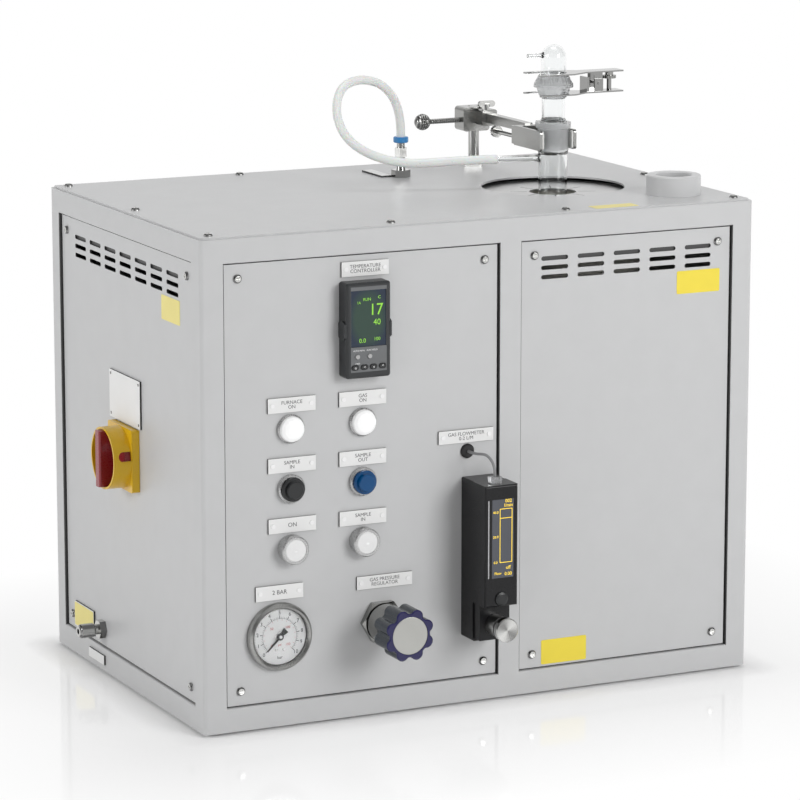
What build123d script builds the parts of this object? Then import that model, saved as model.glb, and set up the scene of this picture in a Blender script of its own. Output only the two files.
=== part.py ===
from build123d import *
import os
from math import radians, tan

# Bench tube furnace with gas supply. Millimetres, +Z up, front towards -Y.
# Every function works from the middle of the cabinet's underside. build() then moves
# everything so that the origin is the bottom centre of the whole part's box.

# Cabinet
CABINET_W = 625.0
CABINET_D = 410.0
CABINET_H = 500.0
SHEET = 2.0
CORNER_R = 4.0
BORDER = 24.5
POST_X = 28.5
POST_W = 25.0
REBATE = 3.0
LEDGE_W = 23.0
PANEL_GAP = 1.5
EDGE_BREAK = 0.8
FOOT_H = 3.0
FOOT_R = 14.0
FOOT_INSET = 40.0
TOP_FLANGE = 27.0
LID_INSET = 2.5
LID_TOP = CABINET_H + SHEET
HOLE_CLEAR = 1.0

# Screws
SCREW_R = 2.0
SCREW_HEAD_R = 4.5
SCREW_HEAD_H = 3.0
SCREW_LEN = 6.0
SCREW_CLEAR = 0.2
SCREW_INSET = 16.0
LID_SCREW_INSET = 15.0

# Ventilation slots
VENT_LEN = 31.0
VENT_H = 4.5
VENT_PITCH = 42.0
VENT_ROW = 9.6
VENT_ROWS = 3
VENT_TOP = 20.0
FRONT_VENT_COLUMNS = 5
SIDE_VENT_COLUMNS = 7

# Furnace and glassware share one upright axis
TUBE_X = 168.0
TUBE_Y = -32.0
LID_HOLE_R = 76.5
INSULATION_R = 95.0
INSULATION_BORE_R = 30.0
INSULATION_FLOOR = 107.0
DISC_OVERLAP = 11.5
DISC_T = 2.0
DISC_HOLE_R = 25.0
DISC_RECESS = 6.0
SLIT_W = 1.5
SLIT_IN_R = 27.0
SLIT_OUT_R = 46.0
SLITS = 8
HEATER_T = 6.0
HEATER_LEN = 260.0
HEATER_GROOVES = 8
SEAT_GAP = 0.3
TUBE_R = 15.5
GLASS_T = 2.0
SOCKET_R = 16.4
SOCKET_UP = 38.5
SOCKET_Z = LID_TOP + SOCKET_UP
SOCKET_LEN = 30.0
SOCKET_MOUTH_R = 14.5
SOCKET_TAPER = 0.05
COLLAR_R = 18.9
COLLAR_H = 7.0
CONE_CLEAR = 0.12
NECK_R = 12.4
BALL_R = 17.5
BALL_UP = 67.5
BALL_Z = SOCKET_Z + BALL_UP
BALL_MOUTH = 8.0
BALL_GAP = 0.3
CUP_FLANGE_R = 21.0
CUP_FLANGE_H = 3.0
CUP_SHOULDER_R = 15.5
CUP_H = 13.2
DOME_R = 13.3
DOME_H = 18.5
DOME_T = 1.6
OUTLET_R = 2.0
OUTLET_BORE_R = 1.0
OUTLET_LEN = 17.7
OUTLET_UP = 20.8
ARM_R = 3.4
ARM_BORE_R = 2.2
ARM_DROP = 8.1
ARM_Z = SOCKET_Z - ARM_DROP
ARM_FLARE = 2.0

# Spherical joint clamp: two forks, a hinge pin and a wheel on a screw
FORK_T = 1.5
FORK_TIP = 26.0
FORK_TAIL = 80.0
FORK_W = 42.0
FORK_TAIL_W = 20.0
FORK_WAIST_X = 34.0
LOWER_SLOT_R = 16.5
UPPER_SLOT_R = 13.9
LOWER_FORK_DROP = 8.0
UPPER_FORK_UP = 13.5
LOWER_FORK_Z = BALL_Z - LOWER_FORK_DROP
UPPER_FORK_Z = BALL_Z + UPPER_FORK_UP
PIN_DX = 50.0
PIN_UP = 2.0
PIN_Z = BALL_Z + PIN_UP
PIN_R = 1.5
PIN_LEN = 20.0
PIN_CLEAR = 0.05
EAR_W = 10.0
EAR_T = 1.2
EAR_Y = 8.0
EAR_GAP = 0.3
STOP_DX = 36.0
STOP_H = 17.0
STOP_T = 3.0
CLAMP_SCREW_DX = 67.0
CLAMP_SCREW_R = 2.6
WHEEL_R = 7.5
WHEEL_H = 3.2
WHEEL_BOSS_R = 4.5
WHEEL_BOSS_H = 4.0
WHEEL_NOTCHES = 16
NOTCH_R = 0.6
WHEEL_GAP = 0.3
FORK_OPEN_DROP = 3.8

# Retort rod, boss head and tube clamp
ROD_X = 162.0
ROD_Y = 143.0
ROD_R = 6.0
ROD_UP = 66.5
ROD_TOP = LID_TOP + ROD_UP
ROD_NUT_AF = 19.0
ROD_NUT_H = 7.0
BOSS_LEFT = 18.0
BOSS_RIGHT = 14.0
BOSS_D = 22.0
BOSS_H = 26.5
BOSS_BOTTOM = ROD_TOP - BOSS_H
BOSS_CORNER_R = 4.0
BOSS_NOSE_L = 16.0
BOSS_NOSE_HALF = 9.0
WING_BACK = 8.0
BOSS_BORE_GAP = 0.15
KNOB_BALL_R = 9.0
KNOB_SHAFT_R = 2.8
KNOB_REACH = 63.0
KNOB_FLUTES = 8
KNOB_FLUTE_R = 1.6
KNOB_UP = 12.0
KNOB_Z = BOSS_BOTTOM + KNOB_UP
BAR_W = 9.0
BAR_H = 10.0
BAR_UP = 16.0
BAR_Z = BOSS_BOTTOM + BAR_UP
BAR_GAP = 0.2
YOKE_Y = 12.0
YOKE_D = 12.0
CLEVIS_ROOT = 6.0
BAR_STOP = 1.4
JAW_T = 3.0
JAW_H = 21.0
JAW_UP = 11.5
JAW_Z = SOCKET_Z + JAW_UP
JAW_TIP = 12.0
PAD_T = 2.2
PAD_GAP = 0.2
YOKE_RIGHT = 14.0
CLEVIS_R = 5.0
CLEVIS_T = 2.5
CLEVIS_GAP = 0.3
FINGER_PIN_R = 2.0
ADJUST_R = 2.4
ADJUST_Z = JAW_Z - 7.0
ADJUST_LUG = 5.5
ADJUST_HEAD_R = 6.5
ADJUST_HEAD_T = 5.0
ADJUST_LEN = 88.0
WING_R = 2.0
WING_SPAN = 20.0
WING_T = 3.0
WING_BLADE_H = 7.0
WING_BOSS_R = 3.6
WING_LIFT = 0.6

# Gas line on the lid
FITTING_X = 52.0
FITTING_Y = 100.0
FITTING_H = 37.5
FITTING_NUT_AF = 18.0
FITTING_NUT_H = 8.0
FITTING_BODY_AF = 12.4
FITTING_HEXES = ((13.0, 17.5), (22.0, 32.0))
FITTING_WAIST_R = 4.4
FITTING_SHANK_R = 6.0
RING_R = 8.2
RING_H = 6.3
HOSE_D = 9.5
HOSE_ROUTE = [
    (52.0, 100.0, 545.8), (52.0, 100.0, 573.0), (31.0, 92.5, 603.0), (-3.0, 82.0, 614.0),
    (-34.0, 70.5, 607.5), (-46.5, 56.0, 581.0), (-40.5, 42.0, 555.0), (-18.0, 26.0, 537.5),
    (14.0, 9.0, 529.5), (45.0, -1.0, 530.5), (78.0, -11.67, 532.4), (107.8, -18.4, 532.4),
]

# Cup on the lid
CUP_X = 255.5
CUP_Y = -137.4
CUP_R = 28.75
CUP_BORE_R = 19.0
CUP_RIM = 20.5
CUP_FLOOR = 3.0

# Temperature controller, 48 x 96 instrument
CONTROLLER_IN = 150.5
CONTROLLER_Z = 400.5
CONTROLLER_W = 49.0
CONTROLLER_H = 96.5
CONTROLLER_P = 17.5
CONTROLLER_BODY_W = 44.0
CONTROLLER_BODY_H = 91.0
CONTROLLER_BODY_D = 90.0
CONTROLLER_CORNER_R = 3.0
CONTROLLER_CHAMFER = 2.2
SCREEN_W = 39.0
SCREEN_H = 57.0
SCREEN_DZ = 12.0
SCREEN_T = 2.0
SCREEN_SINK = 1.0
SCREEN_GAP = 0.2
CLIP_R = 10.0
CLIP_T = 1.6
KEY_W = 8.0
KEY_H = 5.2
KEY_PITCH = 10.0
KEY_DZ = -37.0
KEY_PROUD = 1.2
KEY_TRAVEL = 0.8
KEY_DEPTH = 3.0
KEY_CLEAR = 0.25
MODE_KEY_R = 2.2
MODE_KEY_DX = (-12.5, 0.9)
MODE_KEY_DZ = -26.0

# Lamps and push buttons, 22 mm devices
LAMP_COLUMNS_IN = (72.0, 151.0)
LAMP_Z = 304.5
BUTTON_Z = 243.5
TALL_LAMP_Z = 182.0
BEZEL_R = 14.6
BARREL_R = 11.0
BARREL_LEN = 24.0
BARREL_BORE_R = 8.5
BARREL_CLEAR = 0.25
LAMP_BEZEL_H = 4.0
LENS_R = 13.2
LENS_H = 10.0
TALL_BEZEL_H = 13.0
TALL_LENS_R = 11.6
TALL_LENS_T = 6.0
BUTTON_BEZEL_H = 5.0
BUTTON_BORE_R = 12.6
BUTTON_COLLAR_R = 12.2
BUTTON_COLLAR_H = 4.4
BUTTON_CAP_R = 9.0
BUTTON_H = 13.0
BUTTON_STEM_R = 8.2
BUTTON_TRAVEL = 4.0

# Pressure gauge
GAUGE_IN = 58.0
GAUGE_Z = 93.0
GAUGE_R = 35.0
GAUGE_BEZEL_H = 8.5
GAUGE_CAN_R = 31.0
GAUGE_CAN_D = 32.0
GAUGE_WINDOW_R = 29.0
GAUGE_DIAL_H = 2.5
GAUGE_DIAL_T = 1.0
ARBOR_R = 1.5
ARBOR_H = 3.4
NEEDLE_LEN = 20.0
NEEDLE_TAIL = 9.0
NEEDLE_HUB_R = 3.6
NEEDLE_UP = 1.2
NEEDLE_T = 1.0
NEEDLE_START = 225.0

# Pressure regulator
REGULATOR_IN = 172.0
REGULATOR_Z = 96.0
REGULATOR_NUT_AF = 41.0
REGULATOR_NUT_H = 8.0
REGULATOR_NECK_R = 16.0
REGULATOR_BONNET_R = 20.0
REGULATOR_BONNET_H = 38.0
REGULATOR_STEP = 3.0
REGULATOR_BLOCK = 44.0
REGULATOR_BLOCK_D = 40.0
REGULATOR_BLOCK_Z = -12.0
SPINDLE_R = 5.0
SPINDLE_H = 54.0
REGULATOR_KNOB_D = 29.6
REGULATOR_KNOB_GAP = 0.4
LOBES = 8
LOBE_R = 6.8
LOBE_PITCH_R = 20.5
KNOB_CORE_R = 22.5
KNOB_FACE_RIM = 3.0
KNOB_FACE_SINK = 0.8

# Mass flow meter
METER_X = -6.5
METER_W = 37.0
METER_BOTTOM = 70.0
METER_TOP = 237.0
METER_BODY_P = 26.0
METER_COVER_P = 54.0
METER_COVER_BOTTOM = 111.0
METER_COVER_R = 4.0
METER_SCREEN_W = 25.0
METER_SCREEN_H = 82.0
METER_SCREEN_TOP = 14.3
METER_SCREEN_DX = 1.5
METER_SCREEN_SINK = 0.6
METER_BUTTON_R = 7.0
METER_BUTTON_Z = 119.0
METER_BUTTON_TRAVEL = 1.2
METER_BUTTON_PROUD = 2.4
METER_BUTTON_DEPTH = 3.0
METER_COVER_GAP = 0.6
VALVE_Z = 89.0
VALVE_BLOCK_P = 39.0
VALVE_STEM_R = 5.0
VALVE_KNOB_R = 12.5
VALVE_KNOB_P = 68.0
VALVE_GAP = 0.4
VALVE_CAP_T = 6.0
VALVE_RING_BACK = 7.0
VALVE_GROOVE = 2.5
PLUG_W = 12.0
PLUG_D = 8.0
PLUG_H = 7.8
PLUG_X = -10.0
PLUG_Y = -247.0
GROMMET_X = -19.0
GROMMET_Z = 263.5
GROMMET_R = 7.5
GROMMET_NECK_R = 5.3
GROMMET_H = 3.0
CABLE_D = 2.9
CABLE_ROUTE = [
    (-19.0, -205.0, 263.5), (-19.0, -219.5, 263.5), (-14.84, -232.2, 265.55), (-12.66, -238.9, 263.5),
    (-10.95, -244.1, 258.7), (-10.0, -247.0, 252.1), (-10.0, -247.0, 244.8),
]

# Main switch on the left side
SWITCH_Y = 0.0
SWITCH_Z = 246.5
SWITCH_PLATE = 66.0
SWITCH_PLATE_T = 8.7
GASKET_T = 1.3
DRUM_R = 32.5
DRUM_BORE_R = 30.3
DRUM_P = 28.0
DRUM_WINDOW_W = 10.0
DRUM_WINDOW_H = 14.0
DRUM_WINDOW_UP = 6.0
ROTOR_R = 29.8
ROTOR_P = 16.0
ROTOR_BACK = 3.0
GRIP_P = 34.0
GRIP_W = 12.0
SWITCH_SHAFT_R = 6.0
SWITCH_SHAFT_LEN = 40.0

# Gas inlet on the left side
INLET_Y = 76.0
INLET_Z = 44.0
INLET_NUT_AF = 18.0
INLET_NUT_H = 7.0
INLET_NECK_R = 5.5
INLET_BODY_R = 7.5
INLET_TAIL = 15.0
INLET_LEN = 29.0
INLET_BORE_R = 3.0
INLET_BORE_LEN = 14.0

# Mains inlet on the back
MAINS_X = -200.0
MAINS_Z = 87.0
MAINS_W = 50.0
MAINS_H = 27.0
MAINS_FLANGE_T = 3.0
MAINS_MOUTH_W = 26.0
MAINS_MOUTH_H = 18.0
MAINS_DEPTH = 20.0
MAINS_WALL = 2.0
MAINS_KEY = 5.0
MAINS_PINS = ((-7.0, -2.5), (7.0, -2.5), (0.0, 2.5))
MAINS_PIN_LEN = 13.0
MAINS_PIN_W = 4.0
MAINS_PIN_T = 2.0

# Engraved plates
PLATE_T = 2.0
LABEL_W = 52.0
LABEL_H = 15.0
WIDE_LABEL_W = 62.0
WIDE_LABEL_H = 13.5
REGULATOR_LABEL_DX = 3.0
REGULATOR_LABEL_UP = 42.0
METER_LABEL_DX = -14.5
METER_LABEL_UP = 42.5
LABEL_UP = 24.5
LABEL_NUDGES = (1.0, 0.0)
CONTROLLER_LABEL_DX = 3.5
CONTROLLER_LABEL_UP = 11.7
GAUGE_LABEL_DX = 0.5
GAUGE_LABEL_UP = 10.5
BASE_PLATE_Y = 86.0
RATING_W = 84.0
RATING_H = 50.0
RATING_DY = 2.0
RATING_UP = 59.5
GAS_PLATE_W = 56.0
GAS_PLATE_H = 27.0
GAS_PLATE_DY = 52.0
BASE_PLATE_W = 44.0
BASE_PLATE_H = 10.0
LID_LABEL_W = 12.0
LID_LABEL_L = 50.0
LID_LABEL_X = 36.5
LID_LABEL_Y = 128.0

# Places worked out from the sizes above
FRAME_TOP = CABINET_H
FRONT_Y = -CABINET_D / 2
PANEL_Y = FRONT_Y + REBATE
SIDE_X = CABINET_W / 2
MID_Z = CABINET_H / 2
OPEN_H = CABINET_H - 2 * BORDER
CONTROL_LEFT = -SIDE_X + BORDER
CONTROL_W = POST_X - POST_W / 2 - CONTROL_LEFT
CONTROLLER_X = CONTROL_LEFT + CONTROLLER_IN
LAMP_COLUMNS = tuple(CONTROL_LEFT + x for x in LAMP_COLUMNS_IN)
GAUGE_X = CONTROL_LEFT + GAUGE_IN
REGULATOR_X = CONTROL_LEFT + REGULATOR_IN
LABEL_COLUMNS = tuple(x + nudge for x, nudge in zip(LAMP_COLUMNS, LABEL_NUDGES))
WIDE_LABELS = ((REGULATOR_X + REGULATOR_LABEL_DX, REGULATOR_Z + REGULATOR_LABEL_UP),
               (METER_X + METER_LABEL_DX, METER_TOP + METER_LABEL_UP))
FURNACE_LEFT = POST_X + POST_W / 2
FURNACE_W = SIDE_X - BORDER - FURNACE_LEFT
CONTROL_X = CONTROL_LEFT + CONTROL_W / 2
FURNACE_X = FURNACE_LEFT + FURNACE_W / 2
SIDE_W = CABINET_D - 2 * BORDER
BACK_W = CABINET_W - 2 * BORDER
DISC_TOP = LID_TOP - DISC_RECESS
INSULATION_TOP = DISC_TOP - DISC_T
SIDE_REACH = GRIP_P - REBATE
FRONT_REACH = VALVE_KNOB_P - REBATE


def box(x0, x1, y0, y1, z0, z1):
    """Block between two corners."""
    return Pos((x0 + x1) / 2, (y0 + y1) / 2, (z0 + z1) / 2) * Box(x1 - x0, y1 - y0, z1 - z0)


def rod(r, z0, z1):
    """Round bar along the local Z axis."""
    return Pos(0, 0, (z0 + z1) / 2) * Cylinder(r, z1 - z0)


def turned(*profile):
    """Solid of revolution about local Z from (radius, height) corners."""
    return revolve(Plane.XZ * make_face(Polyline(*profile, close=True)), Axis.Z)


def hexagon(across_flats, z0, z1):
    """Hexagonal bar along local Z."""
    return Pos(0, 0, z0) * extrude(RegularPolygon(across_flats / 2, 6, major_radius=False), z1 - z0)


def front(x, z, y=None):
    """Local frame on the front panels: X right, Y up, Z out of the panel."""
    return Plane(origin=(x, PANEL_Y if y is None else y, z), x_dir=(1, 0, 0), z_dir=(0, -1, 0))


def left(y, z, x=-SIDE_X + REBATE):
    """Local frame on the left panel, Z out of the panel."""
    return Plane(origin=(x, y, z), x_dir=(0, -1, 0), z_dir=(-1, 0, 0))


def right(y, z, x=SIDE_X - REBATE):
    """Local frame on the right panel, Z out of the panel."""
    return Plane(origin=(x, y, z), x_dir=(0, 1, 0), z_dir=(1, 0, 0))


def back(x, z, y=-PANEL_Y):
    """Local frame on the back panel, Z out of the panel."""
    return Plane(origin=(x, y, z), x_dir=(-1, 0, 0), z_dir=(0, 1, 0))


def openings():
    """Each cabinet opening as its frame at the outer face, width and height."""
    return {
        "control_panel": (front(CONTROL_X, MID_Z, FRONT_Y), CONTROL_W, OPEN_H),
        "furnace_front_panel": (front(FURNACE_X, MID_Z, FRONT_Y), FURNACE_W, OPEN_H),
        "left_side_panel": (left(0, MID_Z, -SIDE_X), SIDE_W, OPEN_H),
        "right_side_panel": (right(0, MID_Z, SIDE_X), SIDE_W, OPEN_H),
        "back_panel": (back(0, MID_Z, -FRONT_Y), BACK_W, OPEN_H),
    }


def corner_places(width, height, inset):
    """Four screw places of a panel, set in from its opening."""
    return [(sx * (width / 2 - inset), sy * (height / 2 - inset)) for sx in (-1, 1) for sy in (-1, 1)]


def lid_screw_places():
    """Ten lid screws: four along the front and back edges and one mid-way down each side."""
    x_out = SIDE_X - LID_SCREW_INSET
    y_out = -FRONT_Y - LID_SCREW_INSET
    rows = [(x_out * step, side * y_out) for step in (-1, -1 / 3, 1 / 3, 1) for side in (-1, 1)]
    return rows + [(-x_out, 0), (x_out, 0)]


def cabinet_frame():
    """Folded sheet carcass with rebated openings, a top flange and a closed floor."""
    carcass = box(-SIDE_X, SIDE_X, FRONT_Y, -FRONT_Y, 0, FRAME_TOP)
    carcass = fillet(carcass.edges().filter_by(Axis.Z), CORNER_R)
    inner_x = SIDE_X - SHEET
    inner_y = -FRONT_Y - SHEET
    carcass -= box(-inner_x, inner_x, -inner_y, inner_y, SHEET, FRAME_TOP - SHEET)
    flange_x = SIDE_X - TOP_FLANGE
    flange_y = -FRONT_Y - TOP_FLANGE
    carcass -= box(-flange_x, flange_x, -flange_y, flange_y, FRAME_TOP - SHEET, FRAME_TOP)
    seat = REBATE + SHEET
    depth = seat + SHEET
    hole_r = SCREW_R + SCREW_CLEAR
    for plane, width, height in openings().values():
        carcass += plane * (Pos(0, 0, -depth / 2) * Box(width + 2 * SHEET, height + 2 * SHEET, depth))
    for plane, width, height in openings().values():
        carcass -= plane * (Pos(0, 0, -seat / 2) * Box(width, height, seat))
        carcass -= plane * (Pos(0, 0, -depth / 2) * Box(width - 2 * LEDGE_W, height - 2 * LEDGE_W, depth))
        mouth = extrude(Pos(0, 0, -EDGE_BREAK) * Rectangle(width, height), EDGE_BREAK, taper=-45)
        carcass -= plane * mouth
        for x, y in corner_places(width, height, SCREW_INSET):
            carcass -= plane * (Pos(x, y, 0) * rod(hole_r, -depth, -seat))
    carcass -= left(INLET_Y, INLET_Z, -SIDE_X) * rod(INLET_NECK_R + HOLE_CLEAR, -depth, 0)
    for x, y in lid_screw_places():
        carcass -= Pos(x, y, 0) * rod(hole_r, FRAME_TOP - SHEET, FRAME_TOP)
    return carcass


def rubber_feet():
    """Four low round feet under the floor."""
    x = SIDE_X - FOOT_INSET
    y = -FRONT_Y - FOOT_INSET
    foot = turned((0, -FOOT_H), (FOOT_R - 1, -FOOT_H), (FOOT_R, 0), (0, 0))
    return [Pos(sx * x, sy * y, 0) * foot for sx in (-1, 1) for sy in (-1, 1)]


def vent_slots(columns, height):
    """Rows of slots under the top edge of a panel."""
    slot = SlotOverall(VENT_LEN, VENT_H)
    places = [
        ((column - (columns - 1) / 2) * VENT_PITCH, height / 2 - VENT_TOP - row * VENT_ROW)
        for column in range(columns) for row in range(VENT_ROWS)
    ]
    cutters = Sketch() + [Pos(x, y) * slot for x, y in places]
    return Pos(0, 0, -SHEET) * extrude(cutters, SHEET)


def panel(name, columns=0, holes=()):
    """Flat panel in its rebate, with its screws' holes, vents and the given cutters."""
    plane, width, height = openings()[name]
    sheet = Pos(0, 0, -SHEET / 2) * Box(width - 2 * PANEL_GAP, height - 2 * PANEL_GAP, SHEET)
    for x, y in corner_places(width, height, SCREW_INSET):
        sheet -= Pos(x, y, 0) * rod(SCREW_R + SCREW_CLEAR, -SHEET, 0)
    if columns:
        sheet -= vent_slots(columns, height)
    sheet = plane * (Pos(0, 0, -REBATE) * sheet)
    for cutter in holes:
        sheet -= cutter
    return sheet


def through(plane, r, x=0, y=0):
    """Round cutter through a panel."""
    return plane * (Pos(x, y, 0) * rod(r, -2 * SHEET, SHEET))


def control_panel():
    """Control panel with the cut-outs of its instruments."""
    device_r = BARREL_R + BARREL_CLEAR
    devices = [(x, z) for x in LAMP_COLUMNS for z in (LAMP_Z, BUTTON_Z, TALL_LAMP_Z)]
    holes = [through(front(x, z), device_r) for x, z in devices]
    cutout = Box(CONTROLLER_BODY_W + HOLE_CLEAR, CONTROLLER_BODY_H + HOLE_CLEAR, 4 * SHEET)
    holes.append(front(CONTROLLER_X, CONTROLLER_Z) * cutout)
    holes.append(through(front(GAUGE_X, GAUGE_Z), GAUGE_CAN_R + SEAT_GAP))
    holes.append(through(front(REGULATOR_X, REGULATOR_Z), REGULATOR_NECK_R + SEAT_GAP))
    holes.append(through(front(GROMMET_X, GROMMET_Z), GROMMET_NECK_R + SCREW_CLEAR))
    return panel("control_panel", holes=holes)


def panels():
    """The five panels round the cabinet."""
    switch_hole = through(left(SWITCH_Y, SWITCH_Z), SWITCH_SHAFT_R + HOLE_CLEAR)
    inlet_hole = through(left(INLET_Y, INLET_Z), INLET_NECK_R + SEAT_GAP)
    wall = 2 * MAINS_WALL + HOLE_CLEAR
    mains_hole = back(MAINS_X, MAINS_Z) * Box(MAINS_MOUTH_W + wall, MAINS_MOUTH_H + wall, 4 * SHEET)
    return {
        "control_panel": control_panel(),
        "furnace_front_panel": panel("furnace_front_panel", FRONT_VENT_COLUMNS),
        "left_side_panel": panel("left_side_panel", SIDE_VENT_COLUMNS, [switch_hole, inlet_hole]),
        "right_side_panel": panel("right_side_panel", SIDE_VENT_COLUMNS),
        "back_panel": panel("back_panel", SIDE_VENT_COLUMNS, [mains_hole]),
    }


def lid_panel():
    """Lid sheet on the top flange, with the furnace hole and its screw holes."""
    x = SIDE_X - LID_INSET
    y = -FRONT_Y - LID_INSET
    lid = box(-x, x, -y, y, FRAME_TOP, LID_TOP)
    lid = fillet(lid.edges().filter_by(Axis.Z), CORNER_R)
    lid -= Pos(TUBE_X, TUBE_Y, 0) * rod(LID_HOLE_R, FRAME_TOP, LID_TOP)
    for px, py in lid_screw_places():
        lid -= Pos(px, py, 0) * rod(SCREW_R + SCREW_CLEAR, FRAME_TOP, LID_TOP)
    for px, py, r in ((FITTING_X, FITTING_Y, FITTING_SHANK_R), (ROD_X, ROD_Y, ROD_R)):
        lid -= Pos(px, py, 0) * rod(r + SCREW_CLEAR, FRAME_TOP, LID_TOP)
    return lid


def screw():
    """Pan-head screw, its head standing on local Z = 0."""
    r = SCREW_HEAD_R
    h = SCREW_HEAD_H
    body = turned((0, -SCREW_LEN), (SCREW_R, -SCREW_LEN), (SCREW_R, 0), (r, 0), (r, 0.4 * h),
                  (0.72 * r, 0.87 * h), (0, h))
    for turn in (0, 90):
        body -= Rot(0, 0, turn) * Pos(0, 0, h) * Box(1.1 * r, 0.9, 1.4)
    return body


def panel_screws():
    """All identical fasteners of the cabinet."""
    one = screw()
    group = []
    for plane, width, height in openings().values():
        for x, y in corner_places(width, height, SCREW_INSET):
            group.append(plane * (Pos(x, y, -REBATE) * one))
    for x, y in lid_screw_places():
        group.append(Pos(x, y, LID_TOP) * one)
    return group


def insulation_block():
    """Ceramic fibre cylinder with the furnace bore, standing on the floor."""
    block = rod(INSULATION_R, SHEET, INSULATION_TOP)
    block -= rod(INSULATION_BORE_R, INSULATION_FLOOR, INSULATION_TOP)
    return Pos(TUBE_X, TUBE_Y, 0) * block


def heater_sleeve():
    """Ceramic former with grooves for the heating wire, standing in the bore."""
    outer = INSULATION_BORE_R - SEAT_GAP
    inner = outer - HEATER_T
    low = INSULATION_FLOOR
    sleeve = turned((inner, low), (outer, low), (outer, low + HEATER_LEN), (inner, low + HEATER_LEN))
    step = HEATER_LEN / (HEATER_GROOVES + 1)
    groove = turned((outer - 2.5, -2.5), (outer + 1, -2.5), (outer + 1, 2.5), (outer - 2.5, 2.5))
    for n in range(HEATER_GROOVES):
        sleeve -= Pos(0, 0, low + (n + 1) * step) * groove
    return Pos(TUBE_X, TUBE_Y, 0) * sleeve


def tube_guard_disc():
    """Recessed cover disc with radial slits round the tube."""
    disc = rod(LID_HOLE_R + DISC_OVERLAP, INSULATION_TOP, DISC_TOP) - rod(DISC_HOLE_R, 0, LID_TOP)
    slit_len = SLIT_OUT_R - SLIT_IN_R
    slit = Pos(SLIT_IN_R + slit_len / 2, 0) * SlotOverall(slit_len, SLIT_W)
    slits = Sketch() + [Rot(0, 0, (n + 0.5) * 360 / SLITS) * slit for n in range(SLITS)]
    disc -= Pos(0, 0, INSULATION_TOP) * extrude(slits, DISC_T)
    return Pos(TUBE_X, TUBE_Y, 0) * disc


def socket_bore(z):
    """Radius of the ground taper inside the socket at a height."""
    return SOCKET_MOUTH_R - SOCKET_TAPER * (SOCKET_Z + SOCKET_LEN - z)


def arm_direction():
    """Unit vector of the side arm, level, towards the hose."""
    end = Vector(*HOSE_ROUTE[-1])
    reach = Vector(end.X - TUBE_X, end.Y - TUBE_Y, 0)
    return reach.normalized(), reach.length


def work_tube():
    """Closed-end quartz tube with a ground socket on top and a side arm for the gas hose."""
    bottom = INSULATION_FLOOR + SEAT_GAP + TUBE_R
    top = SOCKET_Z + SOCKET_LEN
    neck = SOCKET_Z - 4
    tube = rod(TUBE_R, bottom, neck) + Pos(0, 0, bottom) * Sphere(TUBE_R)
    tube += turned((0, neck), (TUBE_R, neck), (SOCKET_R, SOCKET_Z), (SOCKET_R, top - COLLAR_H),
                   (COLLAR_R, top - COLLAR_H + 1.5), (COLLAR_R, top), (0, top))
    direction, reach = arm_direction()
    arm_plane = Plane(origin=(0, 0, ARM_Z), z_dir=direction)
    bore = TUBE_R - GLASS_T
    tube += arm_plane * rod(ARM_R, bore, reach)
    tube += arm_plane * turned((0, bore), (ARM_R + ARM_FLARE, bore), (ARM_R, TUBE_R + 2 * ARM_FLARE),
                               (0, TUBE_R + 2 * ARM_FLARE))
    tube -= rod(bore, bottom, neck) + Pos(0, 0, bottom) * Sphere(bore)
    low_r = socket_bore(SOCKET_Z)
    tube -= turned((0, neck), (bore, neck), (low_r, SOCKET_Z), (SOCKET_MOUTH_R, top), (0, top))
    tube -= arm_plane * rod(ARM_BORE_R, 0, reach)
    return Pos(TUBE_X, TUBE_Y, 0) * tube


def adapter_tube():
    """Ground cone, straight neck and hollow ball of the spherical joint."""
    low = SOCKET_Z + 1
    top = SOCKET_Z + SOCKET_LEN + 1
    ball_low = BALL_Z - (BALL_R ** 2 - NECK_R ** 2) ** 0.5
    cone_low = socket_bore(low) - CONE_CLEAR
    cone_top = socket_bore(top) - CONE_CLEAR
    tube = turned((0, low), (cone_low, low), (cone_top, top), (NECK_R, top + 3),
                  (NECK_R, ball_low + 1), (0, ball_low + 1))
    ball = Pos(0, 0, BALL_Z) * Sphere(BALL_R)
    ball -= rod(BALL_R, BALL_Z + BALL_MOUTH, BALL_Z + 2 * BALL_R)
    tube += ball
    bore = NECK_R - GLASS_T
    tube -= rod(bore, low, BALL_Z + BALL_R)
    return Pos(TUBE_X, TUBE_Y, 0) * tube


def dome_cap():
    """Blown cap: cup of the spherical joint, domed barrel and a thin outlet tube."""
    shoulder = BALL_Z + CUP_H
    dome_z = shoulder + DOME_H
    cap = turned((0, BALL_Z), (CUP_FLANGE_R, BALL_Z), (CUP_FLANGE_R, BALL_Z + CUP_FLANGE_H),
                 (CUP_SHOULDER_R, shoulder), (0, shoulder))
    cap += rod(DOME_R, shoulder, dome_z) + Pos(0, 0, dome_z) * Sphere(DOME_R)
    outlet_plane = Plane(origin=(0, 0, shoulder + OUTLET_UP), z_dir=(-1, 0, 0))
    root = DOME_R - DOME_T
    cap += outlet_plane * rod(OUTLET_R, root, DOME_R + OUTLET_LEN)
    cap += outlet_plane * turned((0, root), (OUTLET_R + 1.6, root), (OUTLET_R, DOME_R + 3), (0, DOME_R + 3))
    bore = DOME_R - DOME_T
    cap -= Pos(0, 0, BALL_Z) * Sphere(BALL_R + BALL_GAP)
    cap -= rod(bore, BALL_Z, dome_z) + Pos(0, 0, dome_z) * Sphere(bore)
    cap -= outlet_plane * rod(OUTLET_BORE_R, 0, DOME_R + OUTLET_LEN)
    return Pos(TUBE_X, TUBE_Y, 0) * cap


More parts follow.
